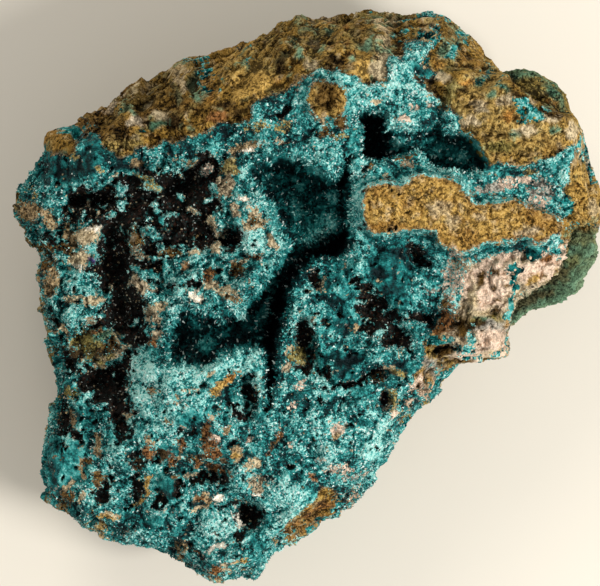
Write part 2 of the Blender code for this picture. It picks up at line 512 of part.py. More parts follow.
def grow(name, chosen, look, points=0.0, beside=None):
    """One closed crust over the chosen faces, with crystal points, or drawn back from neighbours."""
    made = shape.copy()
    made.verts.index_update()
    made.faces.index_update()
    home = {v: v.index for v in made.verts}
    bmesh.ops.delete(made, geom=[f for f in made.faces if not chosen[f.index]], context="FACES")
    shared = set(np.unique(tris[beside])) if beside is not None else set()
    steps = {}
    for e in (e for e in made.edges if len(e.link_faces) == 1):
        if not all(home[v] in shared for v in e.verts):
            continue
        along = (e.verts[1].co - e.verts[0].co).xy
        inward = Vector((-along.y, along.x, 0)).normalized()
        if inward.xy.dot((e.link_faces[0].calc_center_median() - e.verts[0].co).xy) < 0:
            inward.negate()
        for v in e.verts:
            steps[v] = steps.get(v, Vector()) + inward
    steps = {v: step.normalized() * EDGE_INSET for v, step in steps.items()}
    lift = {}
    for v in list(made.verts):
        if v in steps:
            settle(v, steps[v], space[home[v]])
        else:
            v.co.z += space[home[v]]
        lift[(round(v.co.x, 4), round(v.co.y, 4))] = thick[home[v]]
    out = bmesh.ops.extrude_face_region(made, geom=list(made.faces), use_keep_orig=True)
    for v in (g for g in out["geom"] if isinstance(g, bmesh.types.BMVert)):
        v.co.z += lift[(round(v.co.x, 4), round(v.co.y, 4))]
    if points:
        pick = [g for g in out["geom"] if isinstance(g, bmesh.types.BMFace)]
        poked = bmesh.ops.poke(made, faces=pick)
        moves = {}
        for v in poked["verts"]:
            for f in v.link_faces:
                f.normal_update()
            normal = v.link_faces[0].normal
            longest = max(e.calc_length() for f in v.link_faces for e in f.edges)
            wide = 2 * sum(f.calc_area() for f in v.link_faces) / longest
            move = (normal * math.copysign(1, normal.z) * points * wide
                    * (0.6 + 0.4 * noise.noise(v.co * 1.7)))
            most = 0.12 * math.sqrt(sum(plan_size(f) for f in v.link_faces))
            if move.xy.length > most:
                move.x, move.y = move.xy * (most / move.xy.length)
            moves[v] = move
        for v, move in moves.items():
            v.co += move
    bmesh.ops.triangulate(made, faces=[f for f in made.faces if len(f.verts) > 3])
    return add_object(name, made, look)


hollows = in_vug | in_cavity
grow("tyrolite_crust", in_crust, material("teal_crust", (0.10, 0.45, 0.42), 0.6), beside=hollows)
grow("vug_druse", in_vug, material("dark_teal_crystals", (0.02, 0.20, 0.20), 0.35), CRYSTAL_POINT)
grow("cavity_druse", in_cavity, material("deep_teal_crystals", (0.01, 0.11, 0.12), 0.35), CRYSTAL_POINT)
shape.free()
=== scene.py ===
# %% [markdown]
# # A tyrolite specimen, dressed for its portrait
# The real object is a hand-sized lump of brown host rock. A teal copper-arsenate crust grew over
# the rock's upper face, and two hollows in it are lined with darker, glassier crystals.
# We start from the imported solids: they fix every size, and nothing here moves them.

# %% Load the frame
import json
import math
from types import SimpleNamespace

import bmesh
import bpy
import numpy as np
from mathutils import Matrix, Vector, noise

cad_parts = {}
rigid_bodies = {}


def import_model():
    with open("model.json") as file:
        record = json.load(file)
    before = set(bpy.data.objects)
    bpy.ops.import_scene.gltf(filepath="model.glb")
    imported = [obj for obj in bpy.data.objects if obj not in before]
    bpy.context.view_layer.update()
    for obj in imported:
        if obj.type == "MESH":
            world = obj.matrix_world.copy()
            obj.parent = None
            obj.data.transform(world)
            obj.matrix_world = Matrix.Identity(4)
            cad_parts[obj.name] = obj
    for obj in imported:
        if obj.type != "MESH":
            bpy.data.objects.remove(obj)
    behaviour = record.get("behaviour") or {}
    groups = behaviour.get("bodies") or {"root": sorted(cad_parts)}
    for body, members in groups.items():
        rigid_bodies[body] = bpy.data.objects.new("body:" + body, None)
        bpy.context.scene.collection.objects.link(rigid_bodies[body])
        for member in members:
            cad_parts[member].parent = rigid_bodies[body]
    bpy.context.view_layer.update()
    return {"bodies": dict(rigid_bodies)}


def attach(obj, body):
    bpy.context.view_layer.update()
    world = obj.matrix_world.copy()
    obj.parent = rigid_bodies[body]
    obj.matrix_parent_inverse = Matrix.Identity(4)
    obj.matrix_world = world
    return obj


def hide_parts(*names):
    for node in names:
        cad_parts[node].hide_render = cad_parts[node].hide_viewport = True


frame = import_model()
MM = 0.001

# %% [markdown]
# ## The camera and the floor
# A specimen on a table is looked at from straight above. A long lens from nearly half a metre keeps its
# tall middle from looking swollen. The floor is a plain pale sheet.

# %% Camera and floor
CAMERA_MM = (-1.1, 0.45, 450.0)
LENS = 203.3  # millimetres, on a 36 mm sensor
FLOOR_HALF = 600.0


def placed(name, data):
    """A new object in the scene, standing at the origin."""
    made = bpy.data.objects.new(name, data)
    bpy.context.scene.collection.objects.link(made)
    return made


camera_data = bpy.data.cameras.new("camera")
camera_data.lens = LENS
camera_data.sensor_width = 36.0
camera_data.clip_start = 0.01
camera = placed("camera", camera_data)
camera.location = [c * MM for c in CAMERA_MM]
bpy.context.scene.camera = camera


def plain_material(name, colour, roughness):
    made = bpy.data.materials.new(name)
    made.use_nodes = True
    shader = made.node_tree.nodes["Principled BSDF"]
    shader.inputs["Base Color"].default_value = (*colour, 1)
    shader.inputs["Roughness"].default_value = roughness
    return made


bm = bmesh.new()
bmesh.ops.create_grid(bm, x_segments=1, y_segments=1, size=FLOOR_HALF * MM)
floor_mesh = bpy.data.meshes.new("floor")
bm.to_mesh(floor_mesh)
bm.free()
floor = placed("floor", floor_mesh)
floor_mesh.materials.append(plain_material("pale_sheet", (0.77, 0.725, 0.645), 0.9))
print("camera", tuple(camera.location), "lens", LENS)

# %% [markdown]
# ## A map of the stone
# What grew on the upper face can be drawn on a map seen from above: how high each spot is, which mineral
# covers it, how dark it is. So we keep square maps as numpy arrays, a cell every eighth of a millimetre.
# Heights, masks and colours are painted there first and lifted onto meshes later. That is fast, and
# pieces that read the same map fit each other exactly.

# %% The map
PITCH = 0.125
HALF_MAP = 41.0
steps = np.arange(-HALF_MAP, HALF_MAP + PITCH / 2, PITCH)
X, Y = np.meshgrid(steps, steps)  # row = y, column = x
print("map:", X.shape)


def square_mm(mask):
    return round(float(mask.mean()) * (2 * HALF_MAP) ** 2)


def smooth(t):
    """An S-shaped step from 0 to 1."""
    t = np.clip(t, 0.0, 1.0)
    return t * t * (3.0 - 2.0 * t)


def sample(field, x, y):
    """Read the map between its cells."""
    u = np.clip((x + HALF_MAP) / PITCH, 0, field.shape[1] - 1.001)
    v = np.clip((y + HALF_MAP) / PITCH, 0, field.shape[0] - 1.001)
    i, j = u.astype(int), v.astype(int)
    fu, fv = u - i, v - j
    if field.ndim == 3:
        fu, fv = fu[:, None], fv[:, None]
    top = field[j, i] * (1 - fu) + field[j, i + 1] * fu
    low = field[j + 1, i] * (1 - fu) + field[j + 1, i + 1] * fu
    return top * (1 - fv) + low * fv


def blurred(field, radius):
    """Gaussian blur, done by multiplying the map's spectrum."""
    rows, columns = field.shape
    fy = np.fft.fftfreq(rows, PITCH)[:, None]
    fx = np.fft.rfftfreq(columns, PITCH)[None, :]
    keep = np.exp(-2 * (math.pi * radius) ** 2 * (fx ** 2 + fy ** 2))
    return np.fft.irfft2(np.fft.rfft2(field) * keep, s=field.shape)


# %% [markdown]
# ## Natural irregularity: swells and cells
# Two kinds of noise do nearly all the work. A *swell* rises and falls smoothly, like weathered stone.
# *Cells* give each grain a number and a centre, like crystals or broken facets. Blender's own noise
# textures mostly bend the light; worked out on the map, noise moves real points.

# %% Noise on the map
FULL_TURN = 6.283  # radians


def lottery(i, j, seed):
    """The same random number 0..1 every time for a lattice place."""
    n = (i * 374761393 + j * 668265263 + seed * 144269504) & 0xFFFFFFFF
    n = ((n ^ (n >> 13)) * 1274126177) & 0xFFFFFFFF
    return ((n ^ (n >> 16)) & 0xFFFFFF) / 16777215.0


def swell(x, y, size, seed):
    """Gradient noise, about -1..1, with bumps `size` millimetres across."""
    u, v = x / size, y / size
    i, j = np.floor(u).astype(np.int64), np.floor(v).astype(np.int64)
    fu, fv = u - i, v - j

    def corner(a, b):
        turn = lottery(i + a, j + b, seed) * 2 * math.pi
        return np.cos(turn) * (fu - a) + np.sin(turn) * (fv - b)

    su = fu * fu * fu * (fu * (fu * 6 - 15) + 10)
    sv = fv * fv * fv * (fv * (fv * 6 - 15) + 10)
    low = corner(0, 0) * (1 - su) + corner(1, 0) * su
    high = corner(0, 1) * (1 - su) + corner(1, 1) * su
    return 1.5 * (low * (1 - sv) + high * sv)


def cells(x, y, size, seed):
    """Nearest jittered grain: distance, way to the next one, two random numbers, and the offset."""
    u, v = x / size, y / size
    i, j = np.floor(u).astype(np.int64), np.floor(v).astype(np.int64)
    near = np.full(x.shape, 9.0)
    second = np.full(x.shape, 9.0)
    pick_a, pick_b, off_x, off_y = (np.zeros(x.shape) for _ in range(4))
    for a in (-1, 0, 1):
        for b in (-1, 0, 1):
            px = i + a + 0.1 + 0.8 * lottery(i + a, j + b, seed) - u
            py = j + b + 0.1 + 0.8 * lottery(i + a, j + b, seed + 7) - v
            d = np.hypot(px, py)
            nearer = d < near
            second = np.where(nearer, near, np.minimum(second, d))
            near = np.where(nearer, d, near)
            pick_a = np.where(nearer, lottery(i + a, j + b, seed + 13), pick_a)
            pick_b = np.where(nearer, lottery(i + a, j + b, seed + 29), pick_b)
            off_x, off_y = np.where(nearer, -px, off_x), np.where(nearer, -py, off_y)
    return near, second - near, pick_a, pick_b, off_x, off_y


def facets(x, y, size, seed):
    """Each cell is a plane tilted its own way, like broken crystal faces."""
    _, _, a, b, ox, oy = cells(x, y, size, seed)
    return (np.cos(a * FULL_TURN) * ox + np.sin(a * FULL_TURN) * oy) * 1.4 + (b - 0.5) * 0.7


print("noise ready")

# %% [markdown]
# ## The outline and the hollows
# These outlines follow those of the solids, in millimetres on the map. The plan outline is read by angle:
# how far out the stone reaches in each direction. A little softening keeps one direction from jumping
# past its neighbour.

# %% Plan outline
OUTLINE = [
    (-33.7, 21.3), (-29.9, 21.7), (-29.3, 22.3), (-27.7, 23.9), (-24.1, 26.2), (-20.8, 28.2), (-18, 29.3),
    (-16.7, 30.3), (-13.3, 30.7), (-9.8, 31.7), (-7.5, 33), (-5.2, 34.1), (-1.2, 36.2), (0.7, 35.4),
    (4.3, 35.8), (6.3, 36.8), (9.8, 36.8), (12.1, 36), (14.9, 36.7), (17.1, 36.2), (20.7, 33.3),
    (23.3, 30.3), (24.9, 29), (27.1, 29.8), (29.9, 28.5), (32.8, 26.9), (33.6, 23.9), (35, 21.3),
    (36, 16.7), (37.3, 13.6), (37.8, 10.8), (37.3, 8.8), (37, 7.7), (37.9, 6), (36.3, 3.3), (34.6, -0.3),
    (31, -1.3), (27.1, -3.3), (25.7, -4.5), (25.9, -7.6), (21.9, -8.5), (19.4, -8.6), (17.6, -10.4),
    (16.2, -12.7), (13.6, -14.8), (11.3, -19), (9.1, -22.5), (5.9, -26), (3, -28.5), (-1.1, -31.2),
    (-4.9, -32.7), (-7, -35.5), (-7.1, -36.7), (-12.6, -36.9), (-15.2, -35), (-18.4, -33), (-21.6, -31.9),
    (-24.1, -31.9), (-27.7, -29.9), (-30.8, -27.3), (-34.1, -25.9), (-34.5, -25), (-34, -20.3),
    (-33, -16.4), (-32.6, -12.6), (-32.2, -9.4), (-33.7, -4.9), (-34.5, -0.4), (-35, 3.1), (-34, 5.3),
    (-36.2, 7.5), (-35.7, 8.5), (-37.2, 10), (-37.7, 12.4), (-37.2, 14.4), (-36.2, 15.2), (-34.4, 17.5),
    (-33.9, 20),
]
OUTLINE_SOFT = 1.3  # half degrees
# angle (deg), height of the widest line, width of the rounded slope above it
RIM = [
    (0, 9, 2.5), (14, 12, 3), (30, 14, 4), (42, 13, 3), (55, 17, 8), (75, 18, 10), (95, 18, 10),
    (120, 17, 9), (140, 16, 6), (160, 14, 4), (180, 13, 3.5), (200, 14, 3.5), (220, 13, 4), (245, 12, 4.5),
    (270, 13, 4.5), (300, 14, 5), (330, 13, 4.5), (345, 11, 3.5), (352, 9, 2.5),
]


def exact_radius(angle):
    """Distance from the middle to the outline in each direction."""
    pts = np.asarray(OUTLINE, float)
    pts = pts[np.argsort(np.arctan2(pts[:, 1], pts[:, 0]))]
    found = np.searchsorted(np.arctan2(pts[:, 1], pts[:, 0]), angle) % len(pts)
    (bx, by), (ax, ay) = pts[found].T, pts[found - 1].T
    cx, cy = np.cos(angle), np.sin(angle)
    return (ax * by - ay * bx) / (cx * (by - ay) - cy * (bx - ax))


half_degrees = np.radians(np.arange(-180, 180, 0.5))
kernel = np.exp(-0.5 * (np.arange(-9, 10) / OUTLINE_SOFT) ** 2)
radii = np.convolve(np.tile(exact_radius(half_degrees), 3), kernel / kernel.sum(), "same")[720:1440]


def edge_places():
    return radii * np.cos(half_degrees), radii * np.sin(half_degrees)


# the real edge is nibbled: chips a millimetre or two long
chips = 0.35 * swell(*edge_places(), 1.7, 3)
chips += 0.10 * swell(*edge_places(), 0.8, 4)
radii = radii - np.abs(chips)


def outline_radius(angle):
    return np.interp(angle, half_degrees, radii, period=2 * math.pi)


def rim(angle, column):
    table = np.array(RIM + [(RIM[0][0] + 360,) + RIM[0][1:]], float)
    return np.interp(np.degrees(angle) % 360, table[:, 0], table[:, column])


def rim_height(angle):
    return rim(angle, 1)


def rim_slope(angle):
    return rim(angle, 2)


print("outline from", round(radii.min(), 1), "to", round(radii.max(), 1), "mm out")

# %% The tongue and the hollows, seen from above
TONGUE = [
    (6.6, 10.3), (6.7, 12.5), (7.2, 13.4), (8.5, 13.7), (10, 13.8), (11, 13.3), (12, 13.8), (12.8, 14.6),
    (13.8, 14.9), (15.5, 14.6), (17.5, 14.2), (18.5, 13.7), (18.8, 12.9), (19.7, 12), (20.2, 11.4),
    (21.5, 11.3), (24.7, 11.7), (26.5, 11.3), (29, 10.3), (30.3, 9.6), (31.5, 8.6), (30.5, 7.6), (28, 6.6),
    (26.8, 7.2), (24.5, 6.9), (21.5, 6.6), (20.5, 6), (19.5, 5.6), (18.3, 5.6), (17, 6), (16.2, 6.6),
    (15.5, 7.9), (14.5, 8.3), (12, 8.1), (11, 7.7), (8, 7.8), (7.2, 8.4),
]
VUG = [
    (-8.3, 15.5), (-7.5, 17), (-5.8, 17.6), (-3, 18), (-1.5, 17.6), (0, 16.6), (1.5, 15.9), (3, 15.1),
    (4, 15.8), (4.6, 16.9), (5.4, 16.4), (5.4, 14), (5.7, 11), (6, 8.2), (5.3, 6.2), (4.9, 4.6), (3, 4.2),
    (1, 4.3), (0, 3.4), (-1, 2.2), (-2, 0.3), (-2.6, -3), (-3.4, -6), (-3.8, -9), (-4.4, -13.3),
    (-5.3, -13.3), (-5.4, -9.6), (-5.8, -7.2), (-8, -6.9), (-10, -7.5), (-11.5, -8.8), (-13, -9.5),
    (-15, -9.3), (-17, -8.5), (-18.3, -7), (-17.8, -5), (-17.3, -3), (-16.8, -1.2), (-15, -0.9),
    (-13, -1.3), (-11, -1.8), (-9, -1.5), (-7.7, -0.3), (-6.5, 1.5), (-5.3, 2.7), (-4.4, 4.2), (-3.4, 6.1),
    (-4.1, 7.4), (-5, 9.8), (-6, 12), (-7.3, 13.1),
]
CAVITY = [
    (6.2, 22.3), (9.2, 22.3), (9.4, 20.4), (14, 20.3), (15.8, 21), (16.6, 19.9), (18.5, 19.7), (20, 19.1),
    (20.6, 18), (21.3, 16.8), (21.4, 15.7), (19.4, 15.6), (17, 15.8), (15, 16.6), (14.1, 17.9),
    (13.4, 18.3), (11.5, 17.7), (9.5, 17.4), (8.6, 16.6), (7.4, 16.9), (6.4, 17.4), (6.9, 19.5),
]
CLEFT = [
    (4.3, 6.6), (2.5, 5.8), (0.5, 4.8), (-1.6, 2.2), (-3.1, -0.4), (-3.9, -4), (-4.5, -8), (-4.8, -11),
    (-4.8, -13.1),
]
SLIT = [(4.7, 16.2), (4.8, 13.5), (5, 11.2)]
print("the tongue has", len(TONGUE), "points, the hollows", len(VUG), "and", len(CAVITY))

# %% Raised and lowered plates, and the border of the crust
BLOCK = [
    (16.8, 20.4), (20, 19.4), (20.9, 17.8), (21.7, 16), (24, 16.4), (26, 16.1), (28.5, 16.8), (31, 18.1),
    (33, 18.6), (36, 19), (36, 24), (31, 22.1), (27.5, 23.7), (25.4, 25.1), (24, 27.5), (22, 30),
    (18.6, 28), (17.4, 24),
]
LEDGE = [
    (32.4, 8.8), (31.9, 5.6), (31.2, 4), (30.6, 3), (29.5, 2), (28, 1.3), (26.5, 0.5), (25.7, -0.5),
    (25.2, -2), (24.9, -4.2), (27, -9), (46, -8), (46, 9.8), (37, 8.9), (34, 9.2),
]
LOBE = [
    (23.2, 28.9), (24.4, 26.9), (25.6, 25.1), (27.5, 23.8), (29.5, 22.9), (31, 22.1), (33, 21.9), (46, 22),
    (44, 40), (26, 42), (23, 34),
]
PLATE = [
    (-8.5, 12.5), (-7.3, 12.7), (-6, 11.7), (-5, 9.5), (-3.6, 6.3), (-5.5, 5.2), (-7.5, 5.5), (-8.3, 7),
    (-9, 9.5), (-9.6, 11.5),
]
CORNER = [(-36, -25), (-33.3, -17.8), (-28.4, -17.5), (-28, -22), (-29.6, -23.4), (-33, -26.5)]
BARE = [
    (1.5, -23.4), (3, -23.8), (4.3, -25.6), (4.2, -27), (0, -31), (-4, -30), (-1.5, -27), (0.5, -25.5),
]
CRUST = [
    (-36, 17.2), (-31.5, 17.4), (-28.6, 17.6), (-28.5, 22.6), (-26.3, 23.4), (-26, 19.4), (-25, 18.2),
    (-23.5, 17), (-22, 17.6), (-20.5, 18.2), (-18.5, 18.8), (-16.5, 18.9), (-13.5, 19.7), (-12, 20.5),
    (-11, 21.3), (-8, 21.4), (-7, 21.8), (-7.1, 23.5), (-5.5, 24.6), (-4, 24.8), (-1.5, 26), (0.5, 27.5),
    (1.5, 28), (3, 27.7), (5.5, 27), (7, 26.2), (9, 26.2), (9.8, 27.6), (9.6, 29.4), (11.4, 29.2),
    (12, 31.2), (15, 31.3), (15, 30.2), (13.6, 29.4), (14.2, 28.2), (16, 27.2), (14.5, 26.4), (13.5, 26.2),
    (14.5, 25.6), (16, 24.5), (17.5, 23), (18.6, 22), (18.4, 20.9), (18.5, 19.7), (21.4, 15.7), (24, 16.3),
    (26, 16), (28.5, 16.6), (31, 18), (32.7, 18.3), (31.9, 15), (31.3, 12.8), (31, 10.5), (30.3, 9.6),
    (30.5, 7.6), (31, 6.6), (29.6, 5.4), (28.2, 5.2), (26.6, 6), (24, 5), (21.5, 4.7), (20, 4.3),
    (19.3, 2.5), (19, 0), (18.2, -0.4), (18.5, -3), (15, -4.6), (14.2, -5.5), (14.3, -8), (13, -9.5),
    (13, -10.8), (15, -11.4), (18, -12), (19, -14), (11, -28), (-8, -42), (-40, -30), (-40, 0), (-42, 14),
]
KNOB = (2.1, 24.0, 2.3)  # x, y, radius
print("the border of the crust has", len(CRUST), "points")

# %% Distances on the map
FAR = 6.0  # distances are only worked out this far from an outline


def window(points, margin):
    """The rectangle of the map around some points."""
    pts = np.asarray(points, float)
    low = np.floor((pts.min(axis=0) - margin + HALF_MAP) / PITCH).astype(int)
    high = np.ceil((pts.max(axis=0) + margin + HALF_MAP) / PITCH).astype(int)
    low, high = np.clip(low, 0, len(steps)), np.clip(high, 1, len(steps))
    return slice(low[1], high[1]), slice(low[0], high[0])


def along(px, py, line, closed=False):
    """Distance to a line of points."""
    pts = np.asarray(line, float)
    ends = np.roll(pts, -1, axis=0) if closed else pts[1:]
    best = np.full(px.shape, 99.0)
    for (ax, ay), (bx, by) in zip(pts, ends):
        ex, ey = bx - ax, by - ay
        t = np.clip(((px - ax) * ex + (py - ay) * ey) / (ex * ex + ey * ey), 0, 1)
        best = np.minimum(best, np.hypot(px - ax - t * ex, py - ay - t * ey))
    return best


def within(poly, px=X, py=Y):
    """Signed distance to a closed outline on the map, positive inside it."""
    found = np.full(X.shape, -FAR)
    rows, columns = window(poly, FAR)
    u, v = px[rows, columns], py[rows, columns]
    pts = np.asarray(poly, float)
    inside = np.zeros(u.shape, bool)
    for (ax, ay), (bx, by) in zip(pts, np.roll(pts, -1, axis=0)):
        if ay != by:
            inside ^= ((ay > v) != (by > v)) & (u < (bx - ax) * (v - ay) / (by - ay) + ax)
    d = along(u, v, poly, closed=True)
    found[rows, columns] = np.where(inside, d, -d)
    return found


print("the tongue is", round(float(within(TONGUE).max()), 1), "mm deep from its border inwards")

# %% [markdown]
# ## Noting down what lies where
# A camera above the stone sees low spots nearer the middle than they are. The places below are noted as
# seen, at the height of the top, so the map carries a second pair of coordinates that undoes this. A
# third pair is bent by noise: a round blot read through it gets the frayed edge of a mineral patch.

# %% Spot heights, seen coordinates and bent coordinates
SPOTS = [
    (-30, 19.5, 27), (-34, 13, 25), (-24, 20, 30.5), (-18, 21.5, 32.5), (-12, 23.5, 34), (-6, 26, 35),
    (0, 29, 35.5), (6, 29, 36), (12, 29, 35.5), (17, 25, 35), (24, 21, 36), (29, 20, 34.5), (33, 16, 31),
    (33.5, 11, 30), (-20, 27, 29), (-10, 30, 31), (0, 33, 31.5), (10, 34, 32), (17, 32, 31), (10, 11, 34.5),
    (20, 10, 34.8), (28, 9, 33.6), (10, 16, 33), (16, 15.5, 34), (25, 13.5, 32.5), (12, 2, 30.5),
    (18, 3, 32), (23, 2, 33), (28, 4.5, 32), (22, -4, 31.5), (15, -5, 31.5), (9, -3, 30.5), (4, 0, 31),
    (1, -5, 30.5), (5, -8, 32), (12, -11, 30), (0, -14, 33), (6, -17, 32), (-2, -20, 31.5), (5, -23, 29),
    (-5, -27, 30), (-10, -29, 29), (-16, -28, 27.5), (-9, -20, 31), (-15, -20, 30), (-20, -22, 29),
    (-25, -26, 25.5), (-31, -21, 25), (-25, -19, 28), (-19, -13, 32.5), (-12, -12, 33), (-7, -11, 33),
    (-29, -10, 26), (-31, 0, 26), (-28.5, 3, 28.5), (-27, 8, 29), (-24, 4, 26.5), (-24, -3, 26.5),
    (-24.5, -10, 26), (-25, 15, 30.5), (-20, 10, 29), (-20, 2, 29), (-15, 9, 29), (-14, 2, 31), (-9, 9, 33),
    (-6, 8, 34), (-9, 15, 33), (-15, 16, 31), (-10, 19.5, 33.5), (-3, 20.5, 34.5), (2, 20, 35),
    (6, 24, 35.5), (12, 24, 35),
]
SPOT_REACH = 3.6
TOP_HEIGHT = 34.0

total, H = np.zeros(X.shape), np.zeros(X.shape)
for a, b, c in SPOTS:
    weight = np.exp(-((X - a) ** 2 + (Y - b) ** 2) / (2 * SPOT_REACH ** 2)) + 1e-12
    total, H = total + weight, H + weight * c
H = H / total

shrink = (CAMERA_MM[2] - TOP_HEIGHT) / (CAMERA_MM[2] - H)
SEEN_X = CAMERA_MM[0] + (X - CAMERA_MM[0]) * shrink
SEEN_Y = CAMERA_MM[1] + (Y - CAMERA_MM[1]) * shrink
BENT_X = SEEN_X + 0.42 * swell(X, Y, 1.7, 11) + 0.28 * swell(X, Y, 0.6, 12)
BENT_Y = SEEN_Y + 0.42 * swell(X, Y, 1.7, 21) + 0.28 * swell(X, Y, 0.6, 22)

FRAY = swell(X, Y, 1.0, 13) + 0.7 * swell(X, Y, 0.45, 14) + 0.35 * swell(X, Y, 0.27, 16)


def oval(px, py, half, wide, turn):
    """How far out a place lies in an ellipse: 0 in its middle, 1 on its border."""
    c, s = math.cos(math.radians(turn)), math.sin(math.radians(turn))
    return np.hypot((px * c + py * s) / half, (-px * s + py * c) / wide)


def blot(x, y, half, wide, turn=0, strength=1.0, fray=0.38):
    """Map window and strength 0..1 of one elliptical patch with a frayed edge."""
    # the window also covers the 2 % that seen and true places differ by
    reach = max(half, wide) * 1.35 + 1.2
    place = window([(x * 1.02 - reach, y * 1.02 - reach), (x * 0.99 + reach, y * 0.99 + reach)], 0.8)
    far = oval(BENT_X[place] - x, BENT_Y[place] - y, half, wide, turn)
    return place, strength * smooth((1.3 - far + fray * FRAY[place]) / 0.5)


def blots(patches, fray=0.38):
    found = np.zeros(X.shape)
    for patch in patches:
        place, strength = blot(*patch, fray=fray)
        found[place] = np.maximum(found[place], strength)
    return found


print("heights without detail:", round(H.min(), 1), "to", round(H.max(), 1))

# %% [markdown]
# ## Where the stone is black
# The deepest spots of the crust are open voids, painted near black: partly a dark mineral, partly painted
# shade. They come first, because they change the height as well as the colour.

# %% Black ground and voids
# the jumble on the left: black gaps, with fragments in them
GROUND = [
    (-29.4, 13.2), (-24.2, 13.5), (-23.2, 15), (-20.2, 15.5), (-16.8, 15.3), (-15.3, 16.1), (-12.4, 17.3),
    (-10.7, 16.8), (-10.9, 14.9), (-11.5, 13.1), (-10.5, 12.1), (-10.9, 10.5), (-12.3, 9.8), (-11.9, 8.5),
    (-8.2, 8.1), (-8.1, 6.2), (-10.7, 5.9), (-13, 6.1), (-16.4, 6.1), (-17.8, 4), (-18, 2.4), (-20.4, 0.2),
    (-20.1, -1.6), (-20.3, -5), (-18.7, -5.9), (-22, -6.7), (-22.6, -9.7), (-22.4, -17), (-24, -17),
    (-24.8, -13.1), (-28.4, -10.9), (-27.8, -9.1), (-23.8, -8.3), (-21.8, -6.1), (-24.3, -4.2),
    (-26.8, -3.8), (-26.3, -2.8), (-25, -1.8), (-25.5, 0.2), (-25.9, 2.6), (-27.7, 3.5), (-26.1, 4),
    (-25.5, 7.4), (-26.2, 9.1), (-29.5, 8.9),
]
# teal lumps standing in the black ground: x, y, half length, half width, turn (deg)
CLUSTERS = [
    (-23, 12.9, 1, .8, -30), (-23, 11.2, .6, .8), (-24.2, 10.2, .6, .4), (-27.4, 11.9, .5, .3, 20),
    (-29.1, 10.7, .3, .4), (-27.7, 9.6, .25, .5), (-23, 8, .25, .45), (-20.1, 13.6, .8, .3),
    (-18.7, 13.2, .9, .4), (-18.9, 11.2, .4, .25, 30), (-19.6, 9.7, .6, .4), (-19.8, 8.1, .8, .7, 30),
    (-18.7, 7.6, .8, .7, -40), (-17.8, 9.2, .4, 1, 10), (-16.8, 9.8, .8, .4, 10), (-18.5, 10.5, .4, .6),
    (-18.2, 5.9, .6, .5, 60), (-19.1, 4.7, .8, .6, 20), (-16.2, 14.9, .35, .7, 20), (-11.7, 13.5, .4, .5),
    (-21.4, 3.4, .8, .6), (-19.9, 2.8, .8, .7), (-18.5, 2.7, 1, .5), (-21.4, -3.3, .6, .35, 20),
    (-24.8, -.2, .5, .6), (-23.9, -9.6, .6, .4), (-16, 12.2, .6, .3, -30), (-14.4, 8.6, .3, .3),
    (-12.2, 12, .5, .25, 30), (-21.8, 15.2, .6, .3), (-25.4, 11.2, .5, .35),
]
